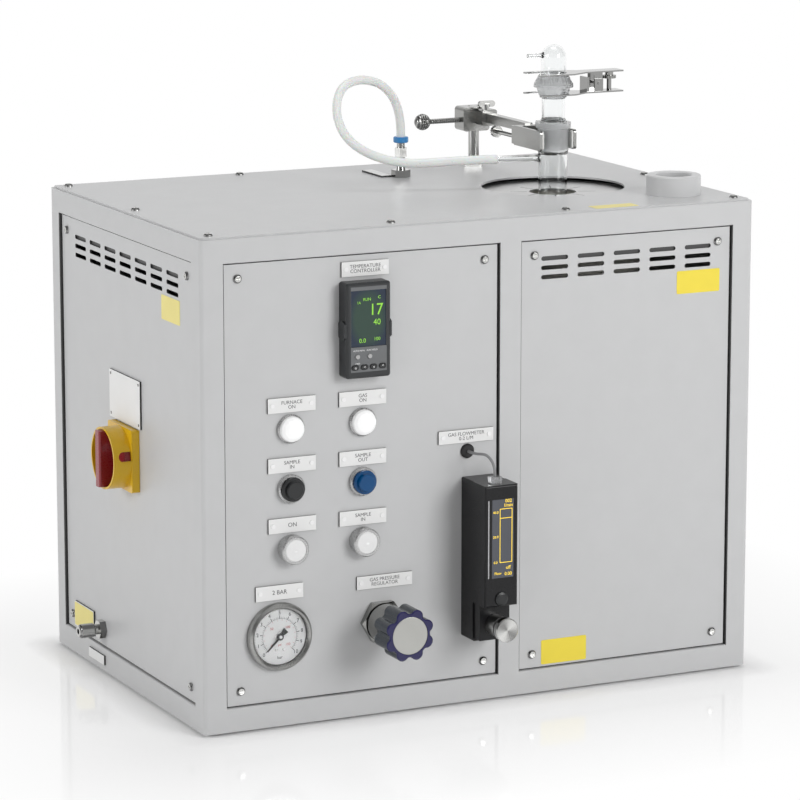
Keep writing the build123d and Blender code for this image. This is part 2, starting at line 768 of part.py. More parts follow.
def fork_blade(slot_r, z):
    """Flat fork: round slot open to the left, waist and narrow tail."""
    half = FORK_W / 2
    tail = FORK_TAIL_W / 2
    outline = Polyline(
        (-FORK_TIP, -half), (slot_r, -half), (FORK_WAIST_X, -tail), (FORK_TAIL, -tail),
        (FORK_TAIL, tail), (FORK_WAIST_X, tail), (slot_r, half), (-FORK_TIP, half), close=True)
    flat = make_face(outline) - Circle(slot_r) - Pos(-FORK_TIP / 2, 0) * Rectangle(FORK_TIP, 2 * slot_r)
    flat = fillet(flat.vertices(), 2.0)
    return Pos(0, 0, z) * extrude(flat, FORK_T)


def hinge_ears(y, z0, z1):
    """Pair of upright ears either side of the clamp's centre line."""
    x0 = PIN_DX - EAR_W / 2
    x1 = PIN_DX + EAR_W / 2
    return box(x0, x1, y, y + EAR_T, z0, z1) + box(x0, x1, -y - EAR_T, -y, z0, z1)


def pin_hole():
    """Cutter for the hinge pin with its running clearance."""
    return Pos(PIN_DX, 0, PIN_Z) * Rot(90, 0, 0) * Cylinder(PIN_R + PIN_CLEAR, 3 * EAR_Y)


def fork_lower():
    """Lower fork with its ears, stop tab, riveted hinge pin and clamp screw."""
    fork = fork_blade(LOWER_SLOT_R, LOWER_FORK_Z)
    fork += hinge_ears(EAR_Y, LOWER_FORK_Z, PIN_Z + EAR_W / 2)
    fork += box(STOP_DX, STOP_DX + STOP_T, -EAR_Y, EAR_Y, LOWER_FORK_Z, LOWER_FORK_Z + STOP_H)
    screw_top = UPPER_FORK_Z - WHEEL_GAP - FORK_OPEN_DROP
    fork += Pos(CLAMP_SCREW_DX, 0, 0) * rod(CLAMP_SCREW_R, LOWER_FORK_Z, screw_top)
    fork += Pos(PIN_DX, 0, PIN_Z) * Rot(90, 0, 0) * Cylinder(PIN_R, PIN_LEN)
    return Pos(TUBE_X, TUBE_Y, 0) * fork


def fork_upper():
    """Upper fork with its hanging ears."""
    fork = fork_blade(UPPER_SLOT_R, UPPER_FORK_Z)
    inner = EAR_Y - EAR_T - EAR_GAP
    fork += hinge_ears(inner, PIN_Z - EAR_W / 2, UPPER_FORK_Z + FORK_T)
    fork -= pin_hole()
    return Pos(TUBE_X, TUBE_Y, 0) * fork


def fork_wheel():
    """Knurled wheel with its boss, on the clamp screw."""
    boss_top = UPPER_FORK_Z - WHEEL_GAP
    wheel_top = boss_top - WHEEL_BOSS_H
    wheel = rod(WHEEL_R, wheel_top - WHEEL_H, wheel_top) + rod(WHEEL_BOSS_R, wheel_top, boss_top)
    for n in range(WHEEL_NOTCHES):
        spot = Rot(0, 0, n * 360 / WHEEL_NOTCHES) * Pos(WHEEL_R, 0, 0)
        wheel -= spot * rod(NOTCH_R, wheel_top - WHEEL_H, wheel_top)
    wheel -= rod(CLAMP_SCREW_R + PIN_CLEAR, 0, boss_top)
    return Pos(TUBE_X + CLAMP_SCREW_DX, TUBE_Y, 0) * wheel


def stand_rod():
    """Upright rod through the lid with its lock nut."""
    bar = rod(ROD_R, FRAME_TOP, ROD_TOP - 1) + rod(ROD_R - 1, ROD_TOP - 1, ROD_TOP)
    bar += hexagon(ROD_NUT_AF, LID_TOP, LID_TOP + ROD_NUT_H)
    return Pos(ROD_X, ROD_Y, 0) * bar


def boss_head():
    """Boss head block: bored for the rod, slotted for the clamp bar."""
    block = box(-BOSS_LEFT, BOSS_RIGHT, -BOSS_D / 2, BOSS_D / 2, BOSS_BOTTOM, BOSS_BOTTOM + BOSS_H)
    block = fillet(block.edges().filter_by(Axis.Y), BOSS_CORNER_R)
    nose_y = -BOSS_D / 2 - BOSS_NOSE_L
    bar_x = TUBE_X - ROD_X
    half = BOSS_NOSE_HALF
    nose = box(bar_x - half, bar_x + half, nose_y, -BOSS_D / 2, BAR_Z - half, BAR_Z + half)
    block += fillet(nose.edges().filter_by(Axis.Y), BOSS_CORNER_R - 1)
    block -= rod(ROD_R + BOSS_BORE_GAP, BOSS_BOTTOM, BOSS_BOTTOM + BOSS_H)
    slot_w = BAR_W / 2 + BAR_GAP
    slot_h = BAR_H / 2 + BAR_GAP
    block -= box(bar_x - slot_w, bar_x + slot_w, nose_y, -ROD_R - 1, BAR_Z - slot_h, BAR_Z + slot_h)
    block -= Pos(0, 0, KNOB_Z) * Rot(0, 90, 0) * Cylinder(KNOB_SHAFT_R + PIN_CLEAR, 2 * BOSS_LEFT,
                                                         align=(Align.CENTER, Align.CENTER, Align.MAX))
    block -= Pos(bar_x, -BOSS_D / 2 - WING_BACK, BAR_Z) * rod(WING_R + PIN_CLEAR, 0, BOSS_H)
    return Pos(ROD_X, ROD_Y, 0) * block


def boss_knob():
    """Ball-ended clamping screw of the boss head."""
    tip = ROD_R + SEAT_GAP
    knob = rod(KNOB_SHAFT_R, tip, KNOB_REACH)
    ball = Pos(0, 0, KNOB_REACH) * Sphere(KNOB_BALL_R)
    for n in range(KNOB_FLUTES):
        flute = Rot(0, 0, n * 360 / KNOB_FLUTES) * Pos(KNOB_BALL_R + 0.6, 0, KNOB_REACH)
        ball -= flute * rod(KNOB_FLUTE_R, -KNOB_BALL_R, KNOB_BALL_R)
    plane = Plane(origin=(ROD_X, ROD_Y, KNOB_Z), z_dir=(-1, 0, 0))
    return plane * (knob + ball)


def boss_wing():
    """Wing screw that grips the clamp bar in the boss head."""
    foot = BAR_Z + BAR_H / 2 + SEAT_GAP
    head = BOSS_BOTTOM + BOSS_H + WING_LIFT + WING_BLADE_H / 2
    wing = rod(WING_R, foot, head) + rod(WING_BOSS_R, head - WING_BLADE_H / 2, head)
    blade = Pos(0, 0, head) * Rot(90, 0, 0) * extrude(
        SlotOverall(WING_SPAN, WING_BLADE_H), WING_T / 2, both=True)
    wing += blade
    return Pos(TUBE_X, ROD_Y - BOSS_D / 2 - WING_BACK, 0) * wing


def jaw_blade(side):
    """Curved prong from the yoke forward past the tube, on one side."""
    inner = SOCKET_R + PAD_GAP + PAD_T
    x0 = side * inner
    x1 = side * (inner + JAW_T)
    blade = box(min(x0, x1), max(x0, x1), -JAW_TIP, YOKE_Y + YOKE_D / 2 - TUBE_Y, JAW_Z - JAW_H / 2,
                JAW_Z + JAW_H / 2)
    return fillet(blade.edges().filter_by(Axis.X), 3.0)


def clamp_arm():
    """Clamp bar, yoke and fixed left jaw."""
    yoke_z0 = JAW_Z - JAW_H / 2
    bar_back = ROD_Y - ROD_R - BAR_STOP - TUBE_Y
    bar_front = YOKE_Y + YOKE_D - TUBE_Y
    arm = box(-BAR_W / 2, BAR_W / 2, bar_front, bar_back, BAR_Z - BAR_H / 2, BAR_Z + BAR_H / 2)
    inner = SOCKET_R + PAD_GAP + PAD_T
    yoke = box(-inner - JAW_T, YOKE_RIGHT, YOKE_Y - TUBE_Y, bar_front, yoke_z0 + 1, yoke_z0 + JAW_H - 1)
    arm += fillet(yoke.edges().filter_by(Axis.Z), 3.0)
    arm += jaw_blade(-1)
    lug = ADJUST_LUG
    arm += box(-lug, lug, YOKE_Y - TUBE_Y, bar_front, ADJUST_Z - lug, yoke_z0 + 2)
    arm -= Pos(0, bar_front, ADJUST_Z) * Rot(90, 0, 0) * Cylinder(ADJUST_R + PIN_CLEAR, 3 * YOKE_D)
    dx = finger_pin_dx()
    dy = finger_pin_dy()
    pivot = Pos(dx, dy, 0)
    root = YOKE_RIGHT - CLEVIS_ROOT
    cheek = JAW_H / 2 + CLEVIS_GAP
    outer = cheek + CLEVIS_T
    for z0, z1 in ((cheek, outer), (-outer, -cheek)):
        arm += pivot * rod(CLEVIS_R, JAW_Z + z0, JAW_Z + z1)
        arm += box(root, dx, dy - CLEVIS_R, dy + CLEVIS_R, JAW_Z + z0, JAW_Z + z1)
    arm += box(root, YOKE_RIGHT, dy - CLEVIS_R, dy + CLEVIS_R, JAW_Z - outer, JAW_Z + outer)
    arm += pivot * rod(FINGER_PIN_R, JAW_Z - cheek, JAW_Z + cheek)
    return Pos(TUBE_X, TUBE_Y, 0) * arm


def finger_pin_dx():
    """Finger pivot, right of the tube axis."""
    return SOCKET_R + PAD_GAP + PAD_T + JAW_T / 2


def finger_pin_dy():
    """Finger pivot, behind the tube axis."""
    return YOKE_Y + YOKE_D / 2 - TUBE_Y


def clamp_finger():
    """Hinged right jaw, bored for its pivot."""
    blade = jaw_blade(1) + Pos(finger_pin_dx(), finger_pin_dy(), 0) * rod(
        CLEVIS_R - 0.5, JAW_Z - JAW_H / 2, JAW_Z + JAW_H / 2)
    blade -= Pos(finger_pin_dx(), finger_pin_dy(), 0) * rod(
        FINGER_PIN_R + PIN_CLEAR, JAW_Z - JAW_H, JAW_Z + JAW_H)
    return Pos(TUBE_X, TUBE_Y, 0) * blade


def jaw_pad(side):
    """Soft pad between a jaw and the ground socket."""
    inner = SOCKET_R + PAD_GAP
    x0 = side * inner
    x1 = side * (inner + PAD_T)
    tip = JAW_TIP - 1
    half = JAW_H / 2 - 1
    pad = box(min(x0, x1), max(x0, x1), -tip, tip, JAW_Z - half, JAW_Z + half)
    return Pos(TUBE_X, TUBE_Y, 0) * fillet(pad.edges().filter_by(Axis.X), 2.0)


def clamp_screw():
    """Adjusting screw under the bar, with its knurled disc behind."""
    plane = Plane(origin=(TUBE_X, YOKE_Y + 2, ADJUST_Z), z_dir=(0, 1, 0))
    body = rod(ADJUST_R, 0, ADJUST_LEN)
    head = rod(ADJUST_HEAD_R, ADJUST_LEN - ADJUST_HEAD_T, ADJUST_LEN)
    for n in range(WHEEL_NOTCHES):
        spot = Rot(0, 0, n * 360 / WHEEL_NOTCHES) * Pos(ADJUST_HEAD_R, 0, 0)
        head -= spot * rod(NOTCH_R, ADJUST_LEN - ADJUST_HEAD_T, ADJUST_LEN)
    return plane * (body + head)


def hose_fitting():
    """Bulkhead fitting: base nut, waist, body hexagon and barb seat."""
    top = FITTING_H
    nut = FITTING_NUT_H
    waist = FITTING_WAIST_R
    fitting = Rot(0, 0, 30) * hexagon(FITTING_NUT_AF, 0, nut)
    fitting += turned((0, 0), (waist + 0.6, 0), (waist + 0.6, nut), (waist, nut + 5), (waist, top), (0, top))
    for low, high in FITTING_HEXES:
        fitting += hexagon(FITTING_BODY_AF, low, high)
    fitting += rod(FITTING_SHANK_R, -SHEET, 0)
    return Pos(FITTING_X, FITTING_Y, LID_TOP) * fitting


def hose_collar():
    """Ring nut at the top of the fitting."""
    low = LID_TOP + FITTING_H
    ring = turned((0, low), (RING_R - 0.8, low), (RING_R, low + 1), (RING_R, low + RING_H - 1),
                  (RING_R - 0.8, low + RING_H), (0, low + RING_H))
    return Pos(FITTING_X, FITTING_Y, 0) * ring


def bend_radii(route):
    """Radius of each corner: as large as its two runs leave room for."""
    points = [Vector(*p) for p in route]
    radii = []
    for before, corner, after in zip(points, points[1:], points[2:]):
        run_in = corner - before
        run_out = after - corner
        turn = radians(run_in.get_angle(run_out))
        radii.append(0.45 * min(run_in.length, run_out.length) / tan(turn / 2))
    return radii


def cord(name, route, diameter):
    """Tube of straight runs joined by tangent arcs."""
    radii = bend_radii(route)
    path = FilletPolyline(*route, radius=radii)
    section = Plane(origin=route[0], z_dir=path % 0) * Circle(diameter / 2)
    tube = sweep(section, path=path)
    ideal = section.area * path.length
    print(name, "radii", [round(r, 1) for r in radii], "length", round(path.length, 1),
          "volume ratio", round(tube.volume / ideal, 4))
    return tube


def tube_rest_cup():
    """Open cup on the lid."""
    cup = turned((0, LID_TOP), (CUP_R, LID_TOP), (CUP_R, LID_TOP + CUP_RIM - 1),
                 (CUP_R - 1, LID_TOP + CUP_RIM), (CUP_BORE_R + 1, LID_TOP + CUP_RIM),
                 (CUP_BORE_R, LID_TOP + CUP_RIM - 1), (CUP_BORE_R, LID_TOP + CUP_FLOOR),
                 (0, LID_TOP + CUP_FLOOR))
    return Pos(CUP_X, CUP_Y, 0) * cup


def key_places():
    """Four oval keys along the foot of the controller."""
    return [((n - 1.5) * KEY_PITCH, KEY_DZ) for n in range(4)]


def controller_case():
    """Instrument case: chamfered bezel, side clips, screen recess and key pockets."""
    bezel = Pos(0, 0, CONTROLLER_P / 2) * Box(CONTROLLER_W, CONTROLLER_H, CONTROLLER_P)
    bezel = fillet(bezel.edges().filter_by(Axis.Z), CONTROLLER_CORNER_R)
    bezel = chamfer(bezel.faces().sort_by(Axis.Z)[-1].edges(), CONTROLLER_CHAMFER)
    bezel += Pos(0, 0, -CONTROLLER_BODY_D / 2) * Box(CONTROLLER_BODY_W, CONTROLLER_BODY_H, CONTROLLER_BODY_D)
    clip = Pos(0, 0, CONTROLLER_P / 2) * Rot(0, 90, 0) * Cylinder(CLIP_R, CONTROLLER_W + 2 * CLIP_T)
    side = Box(CONTROLLER_W + 4 * CLIP_T, CONTROLLER_H / 2, CONTROLLER_P - 3)
    bezel += clip & Pos(0, 0, CONTROLLER_P / 2) * side
    recess = Box(SCREEN_W, SCREEN_H, 2 * (SCREEN_T + SCREEN_SINK))
    bezel -= Pos(0, SCREEN_DZ, CONTROLLER_P) * recess
    pocket = SlotOverall(KEY_W + 2 * KEY_CLEAR, KEY_H + 2 * KEY_CLEAR)
    depth = KEY_DEPTH + KEY_TRAVEL + KEY_CLEAR
    floor = CONTROLLER_P - depth
    for x, y in key_places():
        bezel -= Pos(x, y, floor) * extrude(pocket, depth)
    for x in MODE_KEY_DX:
        bezel -= Pos(x, MODE_KEY_DZ, 0) * rod(MODE_KEY_R + KEY_CLEAR, floor, CONTROLLER_P)
    return front(CONTROLLER_X, CONTROLLER_Z) * bezel


def controller_screen():
    """Display window in its recess."""
    pane = Box(SCREEN_W - 2 * SCREEN_GAP, SCREEN_H - 2 * SCREEN_GAP, SCREEN_T)
    centre = CONTROLLER_P - SCREEN_SINK - SCREEN_T / 2
    return front(CONTROLLER_X, CONTROLLER_Z) * (Pos(0, SCREEN_DZ, centre) * pane)


def controller_keys():
    """Six separate keys: four ovals and two round mode keys."""
    plane = front(CONTROLLER_X, CONTROLLER_Z)
    low = CONTROLLER_P - KEY_DEPTH
    high = CONTROLLER_P + KEY_PROUD
    oval = Pos(0, 0, low) * extrude(SlotOverall(KEY_W, KEY_H), high - low)
    oval = chamfer(oval.faces().sort_by(Axis.Z)[-1].edges(), 0.5)
    button = rod(MODE_KEY_R, low, high)
    keys = {}
    for n, (x, y) in enumerate(key_places()):
        keys[f"controller_key_{n + 1}"] = plane * (Pos(x, y, 0) * oval)
    for n, x in enumerate(MODE_KEY_DX):
        keys[f"controller_mode_key_{n + 1}"] = plane * (Pos(x, MODE_KEY_DZ, 0) * button)
    return keys


def bezel(height, bore_r, floor):
    """Round bezel with a barrel through the panel and a blind front bore."""
    ring = turned((0, 0), (BEZEL_R, 0), (BEZEL_R, height - 1.2), (BEZEL_R - 1.2, height), (0, height))
    ring -= rod(bore_r, floor, height)
    barrel = rod(BARREL_R, -BARREL_LEN, 0)
    return ring + barrel - rod(BARREL_BORE_R, -BARREL_LEN, floor)


def lamp_bezels():
    """Bezels of the two domed lamps, two buttons and two tall lamps."""
    group = []
    lens_low = TALL_BEZEL_H - TALL_LENS_T
    for x in LAMP_COLUMNS:
        group.append(front(x, LAMP_Z) * bezel(LAMP_BEZEL_H, LENS_R, 1.0))
        group.append(front(x, BUTTON_Z) * bezel(BUTTON_BEZEL_H, BUTTON_BORE_R, 0.4))
        group.append(front(x, TALL_LAMP_Z) * bezel(TALL_BEZEL_H, TALL_LENS_R, lens_low))
    return group


def lamp_lenses():
    """Two domed lenses and two flat ones."""
    r = LENS_R - 0.1
    flat_r = TALL_LENS_R - 0.1
    dome = turned((0, 1), (r, 1), (r, 4.8), (0.93 * r, 7.4), (0.72 * r, 9.2), (0.4 * r, 10.2), (0, LENS_H))
    low = TALL_BEZEL_H - TALL_LENS_T
    flat = turned((0, low), (flat_r, low), (flat_r, TALL_BEZEL_H - 0.6),
                  (flat_r - 1, TALL_BEZEL_H), (0, TALL_BEZEL_H + 0.5))
    domes = [front(x, LAMP_Z) * dome for x in LAMP_COLUMNS]
    return domes + [front(x, TALL_LAMP_Z) * flat for x in LAMP_COLUMNS]


def push_button(x):
    """Plunger with its ribbed collar, raised cap and stem."""
    low = BUTTON_BEZEL_H - BUTTON_COLLAR_H + BUTTON_TRAVEL
    collar_top = low + BUTTON_COLLAR_H
    body = rod(BUTTON_COLLAR_R, low, collar_top)
    body = chamfer(body.faces().sort_by(Axis.Z)[-1].edges(), 0.8)
    cap = rod(BUTTON_CAP_R, collar_top, BUTTON_H)
    body += chamfer(cap.faces().sort_by(Axis.Z)[-1].edges(), 1.0)
    body += rod(BUTTON_STEM_R, -BARREL_LEN + BUTTON_TRAVEL + 1, low)
    return front(x, BUTTON_Z) * body


def gauge_case():
    """Gauge can with its rounded bezel, open to the front."""
    h = GAUGE_BEZEL_H
    case = turned((0, -GAUGE_CAN_D), (GAUGE_CAN_R, -GAUGE_CAN_D), (GAUGE_CAN_R, 0), (GAUGE_R, 0),
                  (GAUGE_R, h - 5), (GAUGE_R - 1, h - 2), (GAUGE_R - 3.2, h), (GAUGE_WINDOW_R + 1, h - 1.5),
                  (GAUGE_WINDOW_R, h - 3), (GAUGE_WINDOW_R, GAUGE_DIAL_H - GAUGE_DIAL_T),
                  (0, GAUGE_DIAL_H - GAUGE_DIAL_T))
    return front(GAUGE_X, GAUGE_Z) * case


def gauge_dial():
    """Dial plate with the arbor of the needle."""
    dial = rod(GAUGE_WINDOW_R - 0.2, GAUGE_DIAL_H - GAUGE_DIAL_T, GAUGE_DIAL_H)
    dial += rod(ARBOR_R, GAUGE_DIAL_H, GAUGE_DIAL_H + ARBOR_H)
    return front(GAUGE_X, GAUGE_Z) * dial


def gauge_needle():
    """Needle with a broad tail and a hub on the arbor, at the start of the scale."""
    low = GAUGE_DIAL_H + NEEDLE_UP
    blade = make_face(Polyline((0, 1.1), (NEEDLE_LEN, 0.35), (NEEDLE_LEN, -0.35), (0, -1.1), close=True))
    tail = make_face(Polyline((0, 0.8), (-NEEDLE_TAIL, 3.0), (-NEEDLE_TAIL, -3.0), (0, -0.8), close=True))
    flat = blade + tail + Circle(NEEDLE_HUB_R)
    needle = Pos(0, 0, low) * extrude(flat, NEEDLE_T) - rod(ARBOR_R + PIN_CLEAR, 0, GAUGE_BEZEL_H)
    return front(GAUGE_X, GAUGE_Z) * (Rot(0, 0, NEEDLE_START) * needle)


def regulator_body():
    """Panel nut, bonnet, spindle and the valve block behind the panel."""
    nut = REGULATOR_NUT_H
    flat_r = REGULATOR_NUT_AF / 2
    corner_r = REGULATOR_NUT_AF * 0.57
    body = hexagon(REGULATOR_NUT_AF, 0, nut)
    body &= turned((0, 0), (corner_r, 0), (corner_r, nut - 3), (flat_r, nut), (0, nut))
    body += rod(REGULATOR_NECK_R, REGULATOR_BLOCK_Z, nut + REGULATOR_STEP)
    body += rod(REGULATOR_BONNET_R, nut + REGULATOR_STEP, REGULATOR_BONNET_H)
    body += rod(SPINDLE_R, REGULATOR_BONNET_H, SPINDLE_H)
    block = Box(REGULATOR_BLOCK, REGULATOR_BLOCK, REGULATOR_BLOCK_D)
    block = fillet(block.edges().filter_by(Axis.Z), 4.0)
    body += Pos(0, 0, REGULATOR_BLOCK_Z - REGULATOR_BLOCK_D / 2) * block
    return front(REGULATOR_X, REGULATOR_Z) * body


def regulator_knob():
    """Lobed hand knob, bored for the spindle, with a shallow face recess."""
    spots = [Rot(0, 0, (n + 0.5) * 360 / LOBES) * Pos(LOBE_PITCH_R, 0) for n in range(LOBES)]
    outline = Circle(KNOB_CORE_R) + [spot * Circle(LOBE_R) for spot in spots]
    outline = fillet(outline.vertices(), 2.5)
    low = REGULATOR_BONNET_H + REGULATOR_KNOB_GAP
    top = low + REGULATOR_KNOB_D
    knob = Pos(0, 0, low) * extrude(outline, REGULATOR_KNOB_D)
    knob = chamfer(knob.faces().sort_by(Axis.Z)[-1].edges(), 1.2)
    knob -= rod(KNOB_CORE_R - KNOB_FACE_RIM, top - KNOB_FACE_SINK, top)
    knob -= rod(SPINDLE_R + PIN_CLEAR, low, SPINDLE_H + REGULATOR_KNOB_GAP)
    return front(REGULATOR_X, REGULATOR_Z) * knob


def meter_body():
    """Flow meter base against the panel with the valve block and stem below."""
    height = METER_TOP - METER_BOTTOM
    centre = (METER_TOP + METER_BOTTOM) / 2
    base = Pos(0, centre, METER_BODY_P / 2) * Box(METER_W, height, METER_BODY_P)
    base = fillet(base.edges().filter_by(Axis.Z), 2.0)
    block_top = METER_COVER_BOTTOM - METER_COVER_GAP
    block_h = block_top - METER_BOTTOM - 3
    base += Pos(0, block_top - block_h / 2, (METER_BODY_P + VALVE_BLOCK_P) / 2) * Box(
        METER_W - 3, block_h, VALVE_BLOCK_P - METER_BODY_P)
    base += Pos(0, VALVE_Z, 0) * rod(VALVE_STEM_R, VALVE_BLOCK_P, VALVE_KNOB_P - VALVE_CAP_T)
    return front(METER_X, 0) * base


def meter_cover():
    """Flow meter cover with rounded front corners, screen recess and button hole."""
    height = METER_TOP - METER_COVER_BOTTOM
    centre = (METER_TOP + METER_COVER_BOTTOM) / 2
    depth = METER_COVER_P - METER_BODY_P
    cover = Pos(0, centre, METER_BODY_P + depth / 2) * Box(METER_W, height, depth)
    cover = fillet(cover.faces().sort_by(Axis.Z)[-1].edges(), METER_COVER_R / 2)
    screen_z = METER_TOP - METER_SCREEN_H / 2 - METER_SCREEN_TOP
    recess = Box(METER_SCREEN_W, METER_SCREEN_H, 2 * METER_SCREEN_SINK)
    cover -= Pos(METER_SCREEN_DX, screen_z, METER_COVER_P) * recess
    pocket_floor = METER_COVER_P - METER_BUTTON_DEPTH - METER_BUTTON_TRAVEL - KEY_CLEAR
    cover -= Pos(0, METER_BUTTON_Z, 0) * rod(METER_BUTTON_R + KEY_CLEAR, pocket_floor, METER_COVER_P)
    return front(METER_X, 0) * cover


def meter_button():
    """Domed select button."""
    low = METER_COVER_P - METER_BUTTON_DEPTH
    high = METER_COVER_P + METER_BUTTON_PROUD
    r = METER_BUTTON_R
    button = turned((0, low), (r, low), (r, high - 1), (0.7 * r, high - 0.2), (0, high))
    return front(METER_X, METER_BUTTON_Z) * button


def valve_knob():
    """Turned valve knob with a groove for its rubber ring."""
    low = VALVE_BLOCK_P + VALVE_GAP
    r = VALVE_KNOB_R
    top = VALVE_KNOB_P
    groove = top - VALVE_RING_BACK
    floor_r = r - VALVE_GROOVE
    knob = turned((0, low), (r - 1.5, low), (r - 1.5, groove - 5), (floor_r, groove - 4), (floor_r, groove),
                  (r, groove + 1), (r, top - 1), (r - 1, top), (0, top))
    knob -= rod(VALVE_STEM_R + PIN_CLEAR, low, top - VALVE_CAP_T + VALVE_GAP)
    return front(METER_X, VALVE_Z) * knob


def cable_grommet():
    """Rubber grommet filled by the cable."""
    r = GROMMET_R
    neck = GROMMET_NECK_R
    h = GROMMET_H
    grommet = turned((0, -5), (neck, -5), (neck, 0), (r, 0), (r, h - 1.6), (r - 1.4, h), (0, h))
    return front(GROMMET_X, GROMMET_Z) * grommet


def meter_plug():
    """Modular plug in the top of the flow meter."""
    return box(PLUG_X - PLUG_W / 2, PLUG_X + PLUG_W / 2, PLUG_Y - PLUG_D / 2, PLUG_Y + PLUG_D / 2,
               METER_TOP, METER_TOP + PLUG_H)


def switch_plate():
    """Square escutcheon on a gasket, with the guard drum and its side window."""
    half = SWITCH_PLATE / 2
    plate = Pos(0, 0, GASKET_T + (SWITCH_PLATE_T - GASKET_T) / 2) * Box(
        SWITCH_PLATE, SWITCH_PLATE, SWITCH_PLATE_T - GASKET_T)
    plate = fillet(plate.edges().filter_by(Axis.Z), 3.0)
    plate += Pos(0, 0, GASKET_T / 2) * Box(SWITCH_PLATE - 1, SWITCH_PLATE - 1, GASKET_T)
    plate += rod(DRUM_R, SWITCH_PLATE_T, DRUM_P)
    plate -= rod(DRUM_BORE_R, ROTOR_BACK - SEAT_GAP, DRUM_P)
    plate -= rod(SWITCH_SHAFT_R + PIN_CLEAR, 0, ROTOR_BACK)
    window_z = SWITCH_PLATE_T + DRUM_WINDOW_H / 2
    window = Box(half, DRUM_WINDOW_W, DRUM_WINDOW_H - DRUM_WINDOW_W / 2)
    window = Pos(half, DRUM_WINDOW_UP, window_z - DRUM_WINDOW_W / 4) * window
    crown_z = window_z + DRUM_WINDOW_H / 2 - DRUM_WINDOW_W / 2
    window += Pos(half, DRUM_WINDOW_UP, crown_z) * Rot(0, 90, 0) * Cylinder(
        DRUM_WINDOW_W / 2, half)
    plate -= window
    return left(SWITCH_Y, SWITCH_Z) * plate


def switch_handle():
    """Rotor with its grip bar and a shaft through the panel."""
    rotor = rod(ROTOR_R, ROTOR_BACK, ROTOR_P)
    rotor = chamfer(rotor.faces().sort_by(Axis.Z)[-1].edges(), 1.0)
    bar = Pos(0, 0, (ROTOR_P + GRIP_P) / 2) * Box(GRIP_W, 2 * ROTOR_R, GRIP_P - ROTOR_P)
    bar = fillet(bar.edges().filter_by(Axis.Y), 2.0)
    rotor += bar & rod(ROTOR_R, ROTOR_P - 1, GRIP_P)
    rotor += rod(SWITCH_SHAFT_R, -SWITCH_SHAFT_LEN, ROTOR_BACK)
    return left(SWITCH_Y, SWITCH_Z) * rotor


def gas_inlet():
    """Bulkhead push-in fitting for a 6 mm gas pipe."""
    n = INLET_NUT_H
    body = hexagon(INLET_NUT_AF, 0, n)
    body += turned((0, n), (INLET_NECK_R, n), (INLET_NECK_R, n + 4), (INLET_BODY_R, n + 6),
                   (INLET_BODY_R, INLET_LEN - 2.5), (INLET_BODY_R - 1.5, INLET_LEN - 1.5),
                   (INLET_BODY_R - 1.5, INLET_LEN), (0, INLET_LEN))
    body += rod(INLET_NECK_R, -INLET_TAIL, 0)
    body -= rod(INLET_BORE_R, INLET_LEN - INLET_BORE_LEN, INLET_LEN)
    return left(INLET_Y, INLET_Z) * body


def mains_inlet():
    """Appliance inlet: flange, open mouth and three blades."""
    body = Pos(0, 0, MAINS_FLANGE_T / 2) * Box(MAINS_W, MAINS_H, MAINS_FLANGE_T)
    body = fillet(body.edges().filter_by(Axis.Z), 4.0)
    shell = MAINS_DEPTH + MAINS_WALL
    walls = 2 * MAINS_WALL
    body += Pos(0, 0, -shell / 2) * Box(MAINS_MOUTH_W + walls, MAINS_MOUTH_H + walls, shell)
    floor = MAINS_FLANGE_T - MAINS_DEPTH
    mouth = Pos(0, 0, floor + MAINS_DEPTH / 2) * Box(MAINS_MOUTH_W, MAINS_MOUTH_H, MAINS_DEPTH)
    body -= chamfer(mouth.edges().filter_by(Axis.Z).sort_by(Axis.Y)[-2:], MAINS_KEY)
    for x, y in MAINS_PINS:
        body += Pos(x, y, floor + MAINS_PIN_LEN / 2) * Box(MAINS_PIN_T, MAINS_PIN_W, MAINS_PIN_LEN)
    return back(MAINS_X, MAINS_Z) * body


def label_plates():
    """All engraved plates, bare of lettering."""
    def flat(plane, width, height):
        return plane * (Pos(0, 0, PLATE_T / 2) * Box(width, height, PLATE_T))
    rows = (LAMP_Z + LABEL_UP, BUTTON_Z + LABEL_UP, TALL_LAMP_Z + LABEL_UP)
    places = [(CONTROLLER_X + CONTROLLER_LABEL_DX, CONTROLLER_Z + CONTROLLER_H / 2 + CONTROLLER_LABEL_UP)]
    places += [(x, z) for x in LABEL_COLUMNS for z in rows]
    places += [(GAUGE_X + GAUGE_LABEL_DX, GAUGE_Z + GAUGE_R + GAUGE_LABEL_UP)]
    plates = [flat(front(x, z), LABEL_W, LABEL_H) for x, z in places]
    plates += [flat(front(x, z), WIDE_LABEL_W, WIDE_LABEL_H) for x, z in WIDE_LABELS]
    plates.append(flat(left(SWITCH_Y + RATING_DY, SWITCH_Z + RATING_UP), RATING_W, RATING_H))
    plates.append(flat(left(INLET_Y + GAS_PLATE_DY, INLET_Z - 0.5), GAS_PLATE_W, GAS_PLATE_H))
    plates.append(flat(left(BASE_PLATE_Y, BORDER / 2, -SIDE_X), BASE_PLATE_W, BASE_PLATE_H))
    lid_plane = Plane(origin=(LID_LABEL_X, LID_LABEL_Y, LID_TOP))
    plates.append(flat(lid_plane, LID_LABEL_W, LID_LABEL_L))
    return plates


